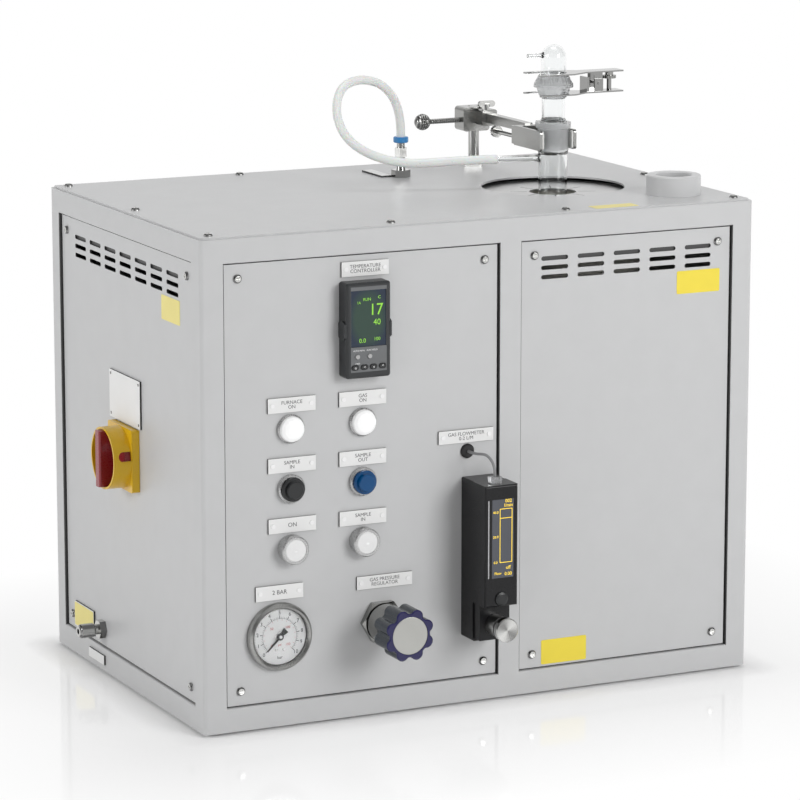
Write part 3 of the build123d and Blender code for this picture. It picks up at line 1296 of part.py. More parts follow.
def build():
    """Every node by name."""
    nodes = {"cabinet_frame": cabinet_frame(), "rubber_feet": rubber_feet(), "lid_panel": lid_panel()}
    nodes.update(panels())
    nodes.update({
        "panel_screws": panel_screws(),
        "tube_guard_disc": tube_guard_disc(),
        "insulation_block": insulation_block(),
        "heater_sleeve": heater_sleeve(),
        "work_tube": work_tube(),
        "adapter_tube": adapter_tube(),
        "dome_cap": dome_cap(),
        "fork_lower": fork_lower(),
        "fork_upper": fork_upper(),
        "fork_wheel": fork_wheel(),
        "stand_rod": stand_rod(),
        "boss_head": boss_head(),
        "boss_knob": boss_knob(),
        "boss_wing": boss_wing(),
        "clamp_arm": clamp_arm(),
        "clamp_finger": clamp_finger(),
        "left_pad": jaw_pad(-1),
        "right_pad": jaw_pad(1),
        "clamp_screw": clamp_screw(),
        "hose_fitting": hose_fitting(),
        "hose_collar": hose_collar(),
        "silicone_hose": cord("silicone_hose", HOSE_ROUTE, HOSE_D),
        "tube_rest_cup": tube_rest_cup(),
        "controller_case": controller_case(),
        "controller_screen": controller_screen(),
        "lamp_bezels": lamp_bezels(),
        "lamp_lenses": lamp_lenses(),
        "black_button": push_button(LAMP_COLUMNS[0]),
        "blue_button": push_button(LAMP_COLUMNS[1]),
        "gauge_case": gauge_case(),
        "gauge_dial": gauge_dial(),
        "gauge_needle": gauge_needle(),
        "regulator_body": regulator_body(),
        "regulator_knob": regulator_knob(),
        "meter_body": meter_body(),
        "meter_cover": meter_cover(),
        "meter_button": meter_button(),
        "valve_knob": valve_knob(),
        "cable_grommet": cable_grommet(),
        "meter_cable": cord("meter_cable", CABLE_ROUTE, CABLE_D),
        "meter_plug": meter_plug(),
        "switch_plate": switch_plate(),
        "switch_handle": switch_handle(),
        "gas_inlet": gas_inlet(),
        "mains_inlet": mains_inlet(),
        "label_plates": label_plates(),
    })
    nodes.update(controller_keys())
    place = Pos(SIDE_REACH / 2, FRONT_REACH / 2, FOOT_H)
    moved = {}
    for name, shape in nodes.items():
        moved[name] = [place * solid for solid in (shape if isinstance(shape, list) else shape.solids())]
    return moved


def main():
    os.makedirs("parts", exist_ok=True)
    for name, solids in build().items():
        export_step(solids[0] if len(solids) == 1 else Compound(children=solids), f"parts/{name}.step")


if __name__ == "__main__":
    main()
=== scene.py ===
from math import cos, pi, radians, sin

import bmesh
import bpy
from mathutils import Matrix, Vector


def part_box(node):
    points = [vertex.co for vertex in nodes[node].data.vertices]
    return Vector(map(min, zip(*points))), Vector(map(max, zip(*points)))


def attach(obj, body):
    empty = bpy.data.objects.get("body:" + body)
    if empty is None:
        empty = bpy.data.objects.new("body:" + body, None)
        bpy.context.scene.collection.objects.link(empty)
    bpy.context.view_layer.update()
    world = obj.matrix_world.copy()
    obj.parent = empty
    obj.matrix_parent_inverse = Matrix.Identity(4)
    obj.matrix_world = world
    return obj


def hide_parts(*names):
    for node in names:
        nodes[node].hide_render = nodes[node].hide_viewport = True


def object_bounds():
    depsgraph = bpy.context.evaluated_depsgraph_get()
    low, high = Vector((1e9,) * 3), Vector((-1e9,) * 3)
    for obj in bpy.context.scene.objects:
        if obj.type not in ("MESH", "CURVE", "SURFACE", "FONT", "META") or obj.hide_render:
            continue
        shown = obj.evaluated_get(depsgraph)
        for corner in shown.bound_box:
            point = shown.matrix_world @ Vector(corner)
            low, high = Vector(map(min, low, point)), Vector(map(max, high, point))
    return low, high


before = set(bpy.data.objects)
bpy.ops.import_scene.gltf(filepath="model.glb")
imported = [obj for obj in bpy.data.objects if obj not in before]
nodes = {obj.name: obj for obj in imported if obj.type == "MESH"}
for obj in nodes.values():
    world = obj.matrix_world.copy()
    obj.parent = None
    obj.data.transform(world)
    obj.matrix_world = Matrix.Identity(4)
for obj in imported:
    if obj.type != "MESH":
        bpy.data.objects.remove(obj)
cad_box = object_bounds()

# Everything is in metres, in the row frame: +Z up, front towards -Y.


# Places read from the frame

def middle(node):
    """Centre of a node's box."""
    low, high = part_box(node)
    return (low + high) / 2


def seat_of_cabinet():
    """Middle of the cabinet's underside."""
    centre = middle("cabinet_frame")
    return Vector((centre.x, centre.y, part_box("cabinet_frame")[0].z))


CABINET = seat_of_cabinet()
PANEL_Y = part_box("control_panel")[0].y
LEFT_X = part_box("left_side_panel")[0].x
RIGHT_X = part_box("right_side_panel")[1].x
BACK_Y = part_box("back_panel")[1].y
CABINET_H = 0.5
SHEET = 0.002
PLATE_T = 0.002
INK = 0.0001


def on_front(x, z, y):
    """Matrix of a spot on a face that looks forwards: X right, Y up, Z out."""
    turn = Matrix(((1, 0, 0), (0, 0, -1), (0, 1, 0))).to_4x4()
    return Matrix.Translation((x, y, z)) @ turn


def on_left(y, z, x):
    """Matrix of a spot on a face that looks left: X towards the front, Y up, Z out."""
    turn = Matrix(((0, 0, -1), (-1, 0, 0), (0, 1, 0))).to_4x4()
    return Matrix.Translation((x, y, z)) @ turn


def panel_spot(x, z, out=0.0):
    """Matrix of a spot on the front panels, x and z counted from the cabinet's underside."""
    return on_front(CABINET.x + x, CABINET.z + z, PANEL_Y - out)


def lid_spot(x, y):
    """Matrix of a spot on the lid, x and y counted from the cabinet's middle."""
    return Matrix.Translation((CABINET.x + x, CABINET.y + y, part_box("lid_panel")[1].z))


def side_spot(y, z, out=0.0):
    """Matrix of a spot on the left panel, y and z counted from the cabinet's underside."""
    return on_left(CABINET.y + y, CABINET.z + z, LEFT_X - out)


# Finishes

def new_finish(name):
    """Empty material with its shader and an Object coordinate."""
    finish = bpy.data.materials.new(name)
    finish.use_nodes = True
    tree = finish.node_tree
    shader = tree.nodes["Principled BSDF"]
    coordinate = tree.nodes.new("ShaderNodeTexCoord")
    return finish, tree, shader, coordinate.outputs["Object"]


def stretched(tree, coordinate, scale):
    """Coordinate stretched by a Mapping node, for drawn or brushed grain."""
    mapping = tree.nodes.new("ShaderNodeMapping")
    mapping.inputs["Scale"].default_value = scale
    tree.links.new(coordinate, mapping.inputs["Vector"])
    return mapping.outputs["Vector"]


def noise(tree, coordinate, scale, detail=4.0):
    """Noise value between about 0.3 and 0.7."""
    node = tree.nodes.new("ShaderNodeTexNoise")
    node.inputs["Scale"].default_value = scale
    node.inputs["Detail"].default_value = detail
    tree.links.new(coordinate, node.inputs["Vector"])
    return node.outputs["Fac"]


def spread(tree, value, low, high, start=0.3, end=0.7):
    """Value mapped onto a new range."""
    node = tree.nodes.new("ShaderNodeMapRange")
    node.inputs["From Min"].default_value = start
    node.inputs["From Max"].default_value = end
    node.inputs["To Min"].default_value = low
    node.inputs["To Max"].default_value = high
    tree.links.new(value, node.inputs["Value"])
    return node.outputs["Result"]


def blend_colours(tree, factor, first, second):
    """Mix of two colours by a factor."""
    node = tree.nodes.new("ShaderNodeMix")
    node.data_type = "RGBA"
    node.inputs["A"].default_value = (*first, 1)
    node.inputs["B"].default_value = (*second, 1)
    tree.links.new(factor, node.inputs["Factor"])
    return node.outputs["Result"]


def shade(colour, factor):
    """Colour made lighter or darker."""
    return tuple(min(channel * factor, 1.0) for channel in colour)


def bump(tree, shader, value, depth, strength=1.0):
    """Relief of a given depth on the shader's normal."""
    node = tree.nodes.new("ShaderNodeBump")
    node.inputs["Strength"].default_value = strength
    node.inputs["Distance"].default_value = depth
    tree.links.new(value, node.inputs["Height"])
    tree.links.new(node.outputs["Normal"], shader.inputs["Normal"])


def mottled(tree, cloud, colour, mottle):
    """Colour that drifts either way with a value: a little with a cloud of random tone, and by half with the
    painted highlight of turned_metal.
    """
    return blend_colours(tree, cloud, shade(colour, 1 - mottle), shade(colour, 1 + mottle))


def uneven_gloss(tree, shader, fine, roughness):
    """Roughness that varies by 15% either way with a fine value."""
    gloss = spread(tree, fine, roughness * 0.85, min(roughness * 1.15, 1))
    tree.links.new(gloss, shader.inputs["Roughness"])


def solid_finish(name, colour, roughness, metallic=0.0, mottle=0.03, grain=900.0, depth=0.00002,
                 stretch=(1, 1, 1), **sockets):
    """Finish with faint colour mottling, uneven gloss and a fine grain."""
    finish, tree, shader, place = new_finish(name)
    shader.inputs["Metallic"].default_value = metallic
    for socket, value in sockets.items():
        shader.inputs[socket.replace("_", " ")].default_value = value
    cloud = spread(tree, noise(tree, place, 35.0), 0, 1)
    fine = noise(tree, stretched(tree, place, stretch), grain, 2.0)
    tree.links.new(mottled(tree, cloud, colour, mottle), shader.inputs["Base Color"])
    uneven_gloss(tree, shader, fine, roughness)
    bump(tree, shader, fine, depth)
    return finish


def combine(tree, operation, first, second):
    """Two values or sockets joined by a Math node."""
    node = tree.nodes.new("ShaderNodeMath")
    node.operation = operation
    for socket, value in zip(node.inputs, (first, second)):
        if isinstance(value, (int, float)):
            socket.default_value = value
        else:
            tree.links.new(value, socket)
    return node.outputs["Value"]


def times(tree, first, second):
    """Product of two values, which for masks is where both are 1."""
    return combine(tree, "MULTIPLY", first, second)


def most(tree, first, second):
    """Larger of two values, which for masks is where either is 1."""
    return combine(tree, "MAXIMUM", first, second)


def under(tree, value, level):
    """1 where a value is lower than a level."""
    return combine(tree, "LESS_THAN", value, level)


def over(tree, value, level):
    """1 where a value is higher than a level."""
    return combine(tree, "GREATER_THAN", value, level)


def magnitude(tree, value):
    """Value without its sign."""
    return combine(tree, "ABSOLUTE", value, 0.0)


def turned_metal(name, colour, roughness, centre):
    """Lathe-turned metal: fine rings and a painted bow tie of highlight and shade round a forward axis through
    a point.
    """
    finish, tree, shader, place = new_finish(name)
    mapping = tree.nodes.new("ShaderNodeMapping")
    mapping.inputs["Location"].default_value = (-centre.x, 0, -centre.z)
    tree.links.new(place, mapping.inputs["Vector"])
    rings = tree.nodes.new("ShaderNodeTexWave")
    rings.wave_type = "RINGS"
    rings.rings_direction = "Y"
    rings.inputs["Scale"].default_value = 900.0
    rings.inputs["Distortion"].default_value = 1.5
    tree.links.new(mapping.outputs["Vector"], rings.inputs["Vector"])
    across, _, up = axes_of(tree, mapping.outputs["Vector"])
    square = combine(tree, "ADD", times(tree, across, across), times(tree, up, up))
    slant = combine(tree, "DIVIDE", times(tree, across, up), combine(tree, "ADD", square, 1e-9))
    # Painted highlight and shade: the colour brightens and darkens by angle round the axis.
    bow = spread(tree, slant, 0.65, 1.35, -0.5, 0.5)
    ring = spread(tree, rings.outputs["Fac"], 0.92, 1.06, 0, 1)
    shader.inputs["Metallic"].default_value = 1.0
    glint = spread(tree, times(tree, bow, ring), 0, 1, 0.6, 1.4)
    tree.links.new(mottled(tree, glint, colour, 0.5), shader.inputs["Base Color"])
    tree.links.new(spread(tree, rings.outputs["Fac"], roughness * 0.7, roughness * 1.3, 0, 1),
                   shader.inputs["Roughness"])
    bump(tree, shader, rings.outputs["Fac"], 0.00001)
    return finish


def ribbed_metal(name, colour, roughness, pitch):
    """Metal with fine grooves round a sideways axis, painted darker in the grooves as shade."""
    finish, tree, shader, place = new_finish(name)
    grooves = tree.nodes.new("ShaderNodeTexWave")
    grooves.wave_type = "BANDS"
    grooves.bands_direction = "X"
    grooves.inputs["Scale"].default_value = 2 * pi / (20 * pitch)
    tree.links.new(place, grooves.inputs["Vector"])
    groove = grooves.outputs["Fac"]
    shader.inputs["Metallic"].default_value = 1.0
    # Painted shade: the grooves' colour falls to about a third.
    tree.links.new(blend_colours(tree, groove, shade(colour, 0.35), colour), shader.inputs["Base Color"])
    tree.links.new(spread(tree, noise(tree, place, 900.0), roughness * 0.8, roughness * 1.2),
                   shader.inputs["Roughness"])
    bump(tree, shader, groove, 0.0004)
    return finish


def band(tree, value, low, high, width=0.0002):
    """1 between two levels and 0 outside them."""
    rise = spread(tree, value, 0, 1, low - width / 2, low + width / 2)
    fall = spread(tree, value, 1, 0, high - width / 2, high + width / 2)
    return times(tree, rise, fall)


def axes_of(tree, vector):
    """X, Y and Z sockets of a vector."""
    split = tree.nodes.new("ShaderNodeSeparateXYZ")
    tree.links.new(vector, split.inputs["Vector"])
    return split.outputs


def two_tone(name, first, second, roughness, mask_of, metallic=(0.0, 0.0), mottle=0.012, grain=1400.0,
             depth=0.00002):
    """Finish whose second colour shows where mask_of(tree, x, y, z, normal) is 1. With some masks both colours
    are real; with others one colour is painted shade, and on the regulator knob painted sheen.
    """
    finish, tree, shader, place = new_finish(name)
    x, y, z = axes_of(tree, place)
    geometry = tree.nodes.new("ShaderNodeNewGeometry")
    mask = mask_of(tree, x, y, z, axes_of(tree, geometry.outputs["Normal"]))
    cloud = spread(tree, noise(tree, place, 40.0), 0, 1)
    fine = noise(tree, place, grain, 2.0)
    mix = tree.nodes.new("ShaderNodeMix")
    mix.data_type = "RGBA"
    tree.links.new(mask, mix.inputs["Factor"])
    tree.links.new(mottled(tree, cloud, first, mottle), mix.inputs["A"])
    tree.links.new(mottled(tree, cloud, second, mottle), mix.inputs["B"])
    tree.links.new(mix.outputs["Result"], shader.inputs["Base Color"])
    tree.links.new(spread(tree, mask, *metallic, 0, 1), shader.inputs["Metallic"])
    uneven_gloss(tree, shader, fine, roughness)
    bump(tree, shader, fine, depth)
    return finish


FACING = 0.5
FACE_ON = 0.55
# How far behind the panels' faces the painted shade on the ledges begins.
LEDGE_STEP = 0.0015
# How far in from the panels' outer faces the painted shade on their cut edges reaches.
EDGE_DEPTH = 0.0025
UNLIT_BELOW = 0.22
# Radii inside which the gauge case is painted black as shade.
GAUGE_WALL_R = (0.0290, 0.0296)


def laminate_mask(tree, x, y, z, normal):
    """Faces of the engraved plates, as against their dark cores' edges."""
    on_side = under(tree, x, LEFT_X + 2 * PLATE_T)
    on_lid = over(tree, z, CABINET.z + CABINET_H)
    elsewhere = combine(tree, "SUBTRACT", 1.0, most(tree, on_side, on_lid))
    side_face = times(tree, on_side, under(tree, normal["X"], -FACING))
    lid_face = times(tree, on_lid, over(tree, normal["Z"], FACING))
    front_face = times(tree, elsewhere, under(tree, normal["Y"], -FACING))
    return most(tree, most(tree, side_face, lid_face), front_face)


def ledge_mask(tree, x, y, z, normal):
    """Ledges that the panels lie on, painted dark as the shade in the gaps."""
    front = times(tree, over(tree, y, PANEL_Y + LEDGE_STEP), under(tree, normal["Y"], -FACING))
    left = times(tree, over(tree, x, LEFT_X + LEDGE_STEP), under(tree, normal["X"], -FACING))
    return most(tree, front, left)


def sheet_edge_mask(tree, x, y, z, normal):
    """Cut edges of the upright panels, painted dark as the shade in the gaps and vents."""
    at_ends = most(tree, under(tree, y, PANEL_Y + EDGE_DEPTH), over(tree, y, BACK_Y - EDGE_DEPTH))
    at_sides = most(tree, under(tree, x, LEFT_X + EDGE_DEPTH), over(tree, x, RIGHT_X - EDGE_DEPTH))
    ends = times(tree, at_ends, under(tree, magnitude(tree, normal["Y"]), FACING))
    sides = times(tree, at_sides, under(tree, magnitude(tree, normal["X"]), FACING))
    return times(tree, most(tree, ends, sides), under(tree, z, CABINET.z + CABINET_H - SHEET))


def rounding_mask(tree, x, y, z, normal):
    """Slanting parts of small turned metal, as against its flats. The slants get painted shade."""
    widest = magnitude(tree, normal["X"])
    for axis in ("Y", "Z"):
        widest = most(tree, widest, magnitude(tree, normal[axis]))
    return spread(tree, widest, 1, 0, 0.86, 0.95)


def lower_lamp_mask(tree, x, y, z, normal):
    """The lamps in the lowest row, which are off."""
    return under(tree, z, CABINET.z + UNLIT_BELOW)


def knob_face_mask(tree, x, y, z, normal):
    """Faces that look forwards. The knob's other faces get a greyer colour as painted sheen."""
    return under(tree, normal["Y"], -FACE_ON)


def keypad_mask(tree, x, y, z, normal):
    """Lighter field of the controller's face."""
    low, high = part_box("controller_case")
    screen_low, screen_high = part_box("controller_screen")
    across = band(tree, x, screen_low.x - 0.0004, screen_high.x + 0.0004)
    up = band(tree, z, low.z + 0.0065, high.z - 0.0040)
    return times(tree, times(tree, across, up), under(tree, y, low.y + 0.0006))


def inside_gauge_mask(tree, x, y, z, normal):
    """Inner wall of the gauge, behind its bezel, painted black as shade."""
    centre = middle("gauge_case")
    dx = combine(tree, "SUBTRACT", x, centre.x)
    dz = combine(tree, "SUBTRACT", z, centre.z)
    square = combine(tree, "ADD", times(tree, dx, dx), times(tree, dz, dz))
    return spread(tree, square, 1, 0, GAUGE_WALL_R[0] ** 2, GAUGE_WALL_R[1] ** 2)


def quartz_finish(name, ground_bands):
    """Clear fused quartz, ground matt between the given heights."""
    finish, tree, shader, place = new_finish(name)
    shader.inputs["IOR"].default_value = 1.46
    height = axes_of(tree, place)["Z"]
    ground = 0.0
    for low, high in ground_bands:
        ground = most(tree, band(tree, height, low, high, 0.0008), ground)
    tree.links.new(spread(tree, ground, 1.0, 0.82, 0, 1), shader.inputs["Transmission Weight"])
    tree.links.new(spread(tree, ground, 0.01, 0.32, 0, 1), shader.inputs["Roughness"])
    tint = blend_colours(tree, ground, (0.955, 0.965, 0.965), (0.90, 0.91, 0.915))
    tree.links.new(tint, shader.inputs["Base Color"])
    bump(tree, shader, noise(tree, place, 60.0), 0.0001, 0.15)
    return finish


def lit_finish(name, colour, strength, grain=4000.0):
    """Glowing segments of a display."""
    finish, tree, shader, place = new_finish(name)
    cells = spread(tree, noise(tree, place, grain, 1.0), 0, 1)
    mix = blend_colours(tree, cells, shade(colour, 0.85), colour)
    tree.links.new(mix, shader.inputs["Base Color"])
    tree.links.new(mix, shader.inputs["Emission Color"])
    shader.inputs["Emission Strength"].default_value = strength
    shader.inputs["Roughness"].default_value = 0.4
    return finish


def join_shaders(tree, factor, first, second):
    """Mix of two shaders by a factor."""
    mix = tree.nodes.new("ShaderNodeMixShader")
    tree.links.new(factor, mix.inputs["Fac"])
    tree.links.new(first.outputs[0], mix.inputs[1])
    tree.links.new(second.outputs[0], mix.inputs[2])
    return mix


def display_finish(name, low, high, glow):
    """Display window: bluish edge and a greener middle, under gloss."""
    finish, tree, shader, place = new_finish(name)
    centre = (low + high) / 2
    size = high - low
    mapping = tree.nodes.new("ShaderNodeMapping")
    mapping.inputs["Location"].default_value = (-centre.x / size.x * 2, 0, -centre.z / size.z * 2)
    mapping.inputs["Scale"].default_value = (2 / size.x, 0, 2 / size.z)
    tree.links.new(place, mapping.inputs["Vector"])
    length = tree.nodes.new("ShaderNodeVectorMath")
    length.operation = "LENGTH"
    tree.links.new(mapping.outputs["Vector"], length.inputs[0])
    fade = spread(tree, length.outputs["Value"], 0, 1, 0.75, 1.15)
    mix = blend_colours(tree, fade, (0.020, 0.048, 0.034), (0.008, 0.018, 0.040))
    tree.links.new(mix, shader.inputs["Base Color"])
    tree.links.new(mix, shader.inputs["Emission Color"])
    shader.inputs["Emission Strength"].default_value = glow
    fine = noise(tree, place, 1500.0, 1.0)
    tree.links.new(spread(tree, fine, 0.12, 0.18), shader.inputs["Roughness"])
    return finish


WHITE = (0.77, 0.77, 0.765)
PAINT_GREY = (0.527, 0.53, 0.534)
STEEL = (0.44, 0.44, 0.43)
GROUND_BANDS = ((0.5405, 0.5705), (0.5965, 0.6212))

FINISH = {
    # Grey paint, with painted shade on the ledges behind the panels.
    "frame_paint_and_ledge_shade": two_tone("frame_paint_and_ledge_shade", PAINT_GREY, (0.05, 0.05, 0.05), 0.42, ledge_mask, grain=1300,
                            depth=0.00003),
    "lid_paint": solid_finish("lid_paint", PAINT_GREY, 0.36, mottle=0.015, grain=1300, depth=0.00003),
    # Grey paint, with painted shade on the panels' cut edges.
    "panel_paint": two_tone("panel_paint", PAINT_GREY, (0.06, 0.06, 0.06), 0.40, sheet_edge_mask, grain=1300,
                            depth=0.00003),
    "cup_paint": solid_finish("cup_paint", shade(PAINT_GREY, 1.06), 0.34, mottle=0.02, grain=1100),
    "black_rubber": solid_finish("black_rubber", (0.010, 0.010, 0.011), 0.5, grain=1500, depth=0.00003),
    # Zinc, with its slanting faces painted dark as shade.
    "zinc_and_slant_shade": two_tone("zinc_and_slant_shade", (0.60, 0.60, 0.585), (0.20, 0.20, 0.20), 0.18, rounding_mask, metallic=(1.0, 1.0),
                     grain=1200, depth=0.00001),
    "bright_steel": solid_finish("bright_steel", STEEL, 0.14, 1.0, mottle=0.04, grain=700, depth=0.000008,
                                 stretch=(1, 1, 12)),
    "fork_steel": solid_finish("fork_steel", (0.31, 0.31, 0.305), 0.12, 1.0, mottle=0.06, grain=700,
                               depth=0.00001),
    "satin_alloy": solid_finish("satin_alloy", (0.33, 0.33, 0.32), 0.22, 1.0, mottle=0.05, depth=0.000008),
    "bonnet_steel": solid_finish("bonnet_steel", (0.33, 0.33, 0.32), 0.20, 1.0, mottle=0.08),
    "metallised": solid_finish("metallised", (0.50, 0.50, 0.50), 0.28, 0.75, mottle=0.04, grain=1200),
    "disc_metal": solid_finish("disc_metal", (0.60, 0.60, 0.60), 0.36, 1.0, mottle=0.06, grain=500,
                               stretch=(1, 8, 1)),
    "fibre": solid_finish("fibre", (0.82, 0.80, 0.74), 0.95, mottle=0.05, grain=500, depth=0.0003),
    "white_pad": solid_finish("white_pad", (0.80, 0.80, 0.78), 0.7, grain=800, depth=0.0001),
    "blue_ring": solid_finish("blue_ring", (0.03, 0.22, 0.52), 0.3, Coat_Weight=0.2),
    "black_plastic": solid_finish("black_plastic", (0.011, 0.012, 0.013), 0.38, grain=1600, depth=0.00003),
    "meter_black": solid_finish("meter_black", (0.008, 0.008, 0.009), 0.30, grain=1500, Specular_IOR_Level=0.3),
    "dark_key": solid_finish("dark_key", (0.016, 0.017, 0.018), 0.4, grain=1500),
    "light_key": solid_finish("light_key", (0.40, 0.40, 0.40), 0.3, grain=1500),
    "opal_lens": two_tone("opal_lens", (1.0, 1.0, 1.0), (0.76, 0.76, 0.76), 0.24, lower_lamp_mask, grain=600,
                          depth=0.00001),
    "plain_white": solid_finish("plain_white", (0.86, 0.86, 0.86), 0.25, mottle=0.02, grain=1200),
    "black_ink": solid_finish("black_ink", (0.03, 0.03, 0.032), 0.5, grain=1500),
    "grey_ink": solid_finish("grey_ink", (0.075, 0.075, 0.08), 0.5, grain=1500),
    "red_ink": solid_finish("red_ink", (0.55, 0.09, 0.09), 0.5, grain=1500),
    "dial_white": solid_finish("dial_white", (0.95, 0.95, 0.95), 0.45, mottle=0.015, grain=1300),
    # Navy plastic, with the knob's sides painted greyer as sheen.
    "navy_plastic": two_tone("navy_plastic", (0.026, 0.033, 0.042), (0.013, 0.011, 0.072), 0.24, knob_face_mask,
                             grain=1100, depth=0.00003),
    "blue_cap": solid_finish("blue_cap", (0.0, 0.058, 0.18), 0.16, grain=1000, Specular_IOR_Level=0.35),
    "yellow_plastic": solid_finish("yellow_plastic", (0.70, 0.43, 0.006), 0.32, grain=1100, Coat_Weight=0.2),
    "red_plastic": solid_finish("red_plastic", (0.24, 0.010, 0.018), 0.3, grain=1000, Coat_Weight=0.25),
    "sticker_yellow": solid_finish("sticker_yellow", (0.82, 0.66, 0.05), 0.5, mottle=0.02, grain=1300),
    # Sticker yellow painted paler as sheen, for the stickers on the lid and the left side.
    "sheen_pale_yellow": solid_finish("sheen_pale_yellow", (0.80, 0.70, 0.24), 0.45, mottle=0.02, grain=1300),
    "silver_print": solid_finish("silver_print", (0.45, 0.45, 0.46), 0.4, grain=1500),
    "clear_plastic": solid_finish("clear_plastic", (0.90, 0.91, 0.92), 0.12, grain=500,
                                  Transmission_Weight=0.85, IOR=1.5),
    "silicone": solid_finish("silicone", (0.87, 0.865, 0.85), 0.32, mottle=0.02, grain=300,
                             Transmission_Weight=0.12, Subsurface_Weight=0.2),
    "quartz": quartz_finish("quartz", [(CABINET.z + low, CABINET.z + high) for low, high in GROUND_BANDS]),
    "glass": solid_finish("glass", (0.97, 0.98, 0.98), 0.012, grain=60, depth=0.000005, Transmission_Weight=1.0,
                          IOR=1.3),
    # Its bow tie is a painted highlight.
    "turned_steel": turned_metal("turned_steel", (0.46, 0.46, 0.45), 0.22, middle("valve_knob")),
    "disc_steel": solid_finish("disc_steel", (0.44, 0.44, 0.42), 0.36, 1.0, grain=600, depth=0.00001),
    "ribbed_steel": ribbed_metal("ribbed_steel", (0.42, 0.42, 0.41), 0.2, 0.0027),
    "laminate": two_tone("laminate", (0.02, 0.02, 0.02), WHITE, 0.35, laminate_mask),
    "keypad": two_tone("keypad", (0.019, 0.021, 0.023), (0.13, 0.135, 0.14), 0.36, keypad_mask),
    # Steel, with the gauge's inner wall painted black as shade.
    "gauge_steel_and_wall_shade": two_tone("gauge_steel_and_wall_shade", (0.42, 0.42, 0.41), (0.012, 0.012, 0.012), 0.30, inside_gauge_mask,
                            metallic=(1.0, 0.0)),
    "green_segments": lit_finish("green_segments", (0.25, 0.62, 0.04), 0.35),
    "amber_segments": lit_finish("amber_segments", (0.95, 0.66, 0.04), 0.75),
    "display": display_finish("display", *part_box("controller_screen"), 0.12),
    "meter_glass": solid_finish("meter_glass", (0.075, 0.08, 0.095), 0.15, grain=1500, depth=0.000005),
    "mid_grey": solid_finish("mid_grey", (0.23, 0.23, 0.235), 0.45, grain=1500),
}

NODE_FINISH = {
    "frame_paint_and_ledge_shade": ["cabinet_frame"],
    "lid_paint": ["lid_panel"],
    "panel_paint": ["control_panel", "furnace_front_panel", "left_side_panel", "right_side_panel",
                    "back_panel"],
    "cup_paint": ["tube_rest_cup"],
    "black_rubber": ["rubber_feet", "cable_grommet"],
    "metallised": ["lamp_bezels"],
    "bonnet_steel": ["regulator_body"],
    "mid_grey": ["meter_cable"],
    "zinc_and_slant_shade": ["panel_screws", "boss_wing", "clamp_screw", "gas_inlet"],
    "bright_steel": ["stand_rod", "hose_fitting"],
    "fork_steel": ["fork_lower", "fork_upper"],
    "ribbed_steel": ["boss_knob"],
    "gauge_steel_and_wall_shade": ["gauge_case"],
    "satin_alloy": ["boss_head", "clamp_arm", "clamp_finger", "fork_wheel"],
    "disc_metal": ["tube_guard_disc"],
    "fibre": ["insulation_block", "heater_sleeve"],
    "white_pad": ["left_pad", "right_pad"],
    "blue_ring": ["hose_collar"],
    "keypad": ["controller_case"],
    "black_plastic": ["black_button", "mains_inlet", "meter_button"],
    "meter_black": ["meter_body", "meter_cover"],
    "dark_key": [f"controller_key_{n}" for n in range(1, 5)],
    "light_key": ["controller_mode_key_1", "controller_mode_key_2"],
    "opal_lens": ["lamp_lenses"],
    "laminate": ["label_plates"],
    "black_ink": ["gauge_needle"],
    "dial_white": ["gauge_dial"],
    "navy_plastic": ["regulator_knob"],
    "blue_cap": ["blue_button"],
    "yellow_plastic": ["switch_plate"],
    "red_plastic": ["switch_handle"],
    "clear_plastic": ["meter_plug"],
    "silicone": ["silicone_hose"],
    "quartz": ["work_tube", "adapter_tube", "dome_cap"],
    "turned_steel": ["valve_knob"],
    "display": ["controller_screen"],
}


def dress(piece, finish):
    """Give a piece one finish."""
    piece.data.materials.clear()
    piece.data.materials.append(FINISH[finish])


for finish_name, members in NODE_FINISH.items():
    for member in members:
        dress(nodes[member], finish_name)


# Making pieces

def finished(name, mesh, finish, body):
    """Link a mesh as a piece that rides on a body."""
    piece = bpy.data.objects.new(name, mesh)
    bpy.context.scene.collection.objects.link(piece)
    dress(piece, finish)
    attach(piece, body)
    return piece


def from_bmesh(name, shape, place, finish, body, smooth=False):
    """Turn a bmesh into a piece at a place."""
    shape.transform(place)
    bmesh.ops.recalc_face_normals(shape, faces=shape.faces)
    mesh = bpy.data.meshes.new(name)
    shape.to_mesh(mesh)
    shape.free()
    if smooth:
        mesh.shade_smooth()
    return finished(name, mesh, finish, body)


def slab(shape, width, height, depth, centre, turn=0.0):
    """Add a block that stands on local Z = 0 to a bmesh."""
    move = Matrix.Rotation(turn, 4, "Z") @ Matrix.Translation((*centre, depth / 2))
    size = Matrix.Diagonal((width, height, depth, 1))
    return bmesh.ops.create_cube(shape, size=1.0, matrix=move @ size)["verts"]


def sticker(name, width, height, place, finish, depth=0.0003, corner=0.0015):
    """Thin plate with round corners, fixed to the cabinet."""
    shape = bmesh.new()
    slab(shape, width, height, depth, (0, 0))
    upright = [e for e in shape.edges if abs(e.verts[0].co.z - e.verts[1].co.z) > depth / 2]
    bmesh.ops.bevel(shape, geom=upright, offset=corner, segments=4, profile=0.5, affect="EDGES", material=-1)
    return from_bmesh(name, shape, place, finish, "cabinet")


def disc(name, radius, depth, place, finish, body="cabinet", edge=0.0002):
    """Round plate with a broken edge."""
    shape = bmesh.new()
    bmesh.ops.create_cone(shape, cap_ends=True, segments=64, radius1=radius, radius2=radius, depth=depth,
                          matrix=Matrix.Translation((0, 0, depth / 2)))
    rim = [e for e in shape.edges if abs(e.verts[0].co.z - e.verts[1].co.z) < depth / 2]
    bmesh.ops.bevel(shape, geom=rim, offset=edge, segments=2, profile=0.5, affect="EDGES", material=-1)
    return from_bmesh(name, shape, place, finish, body)


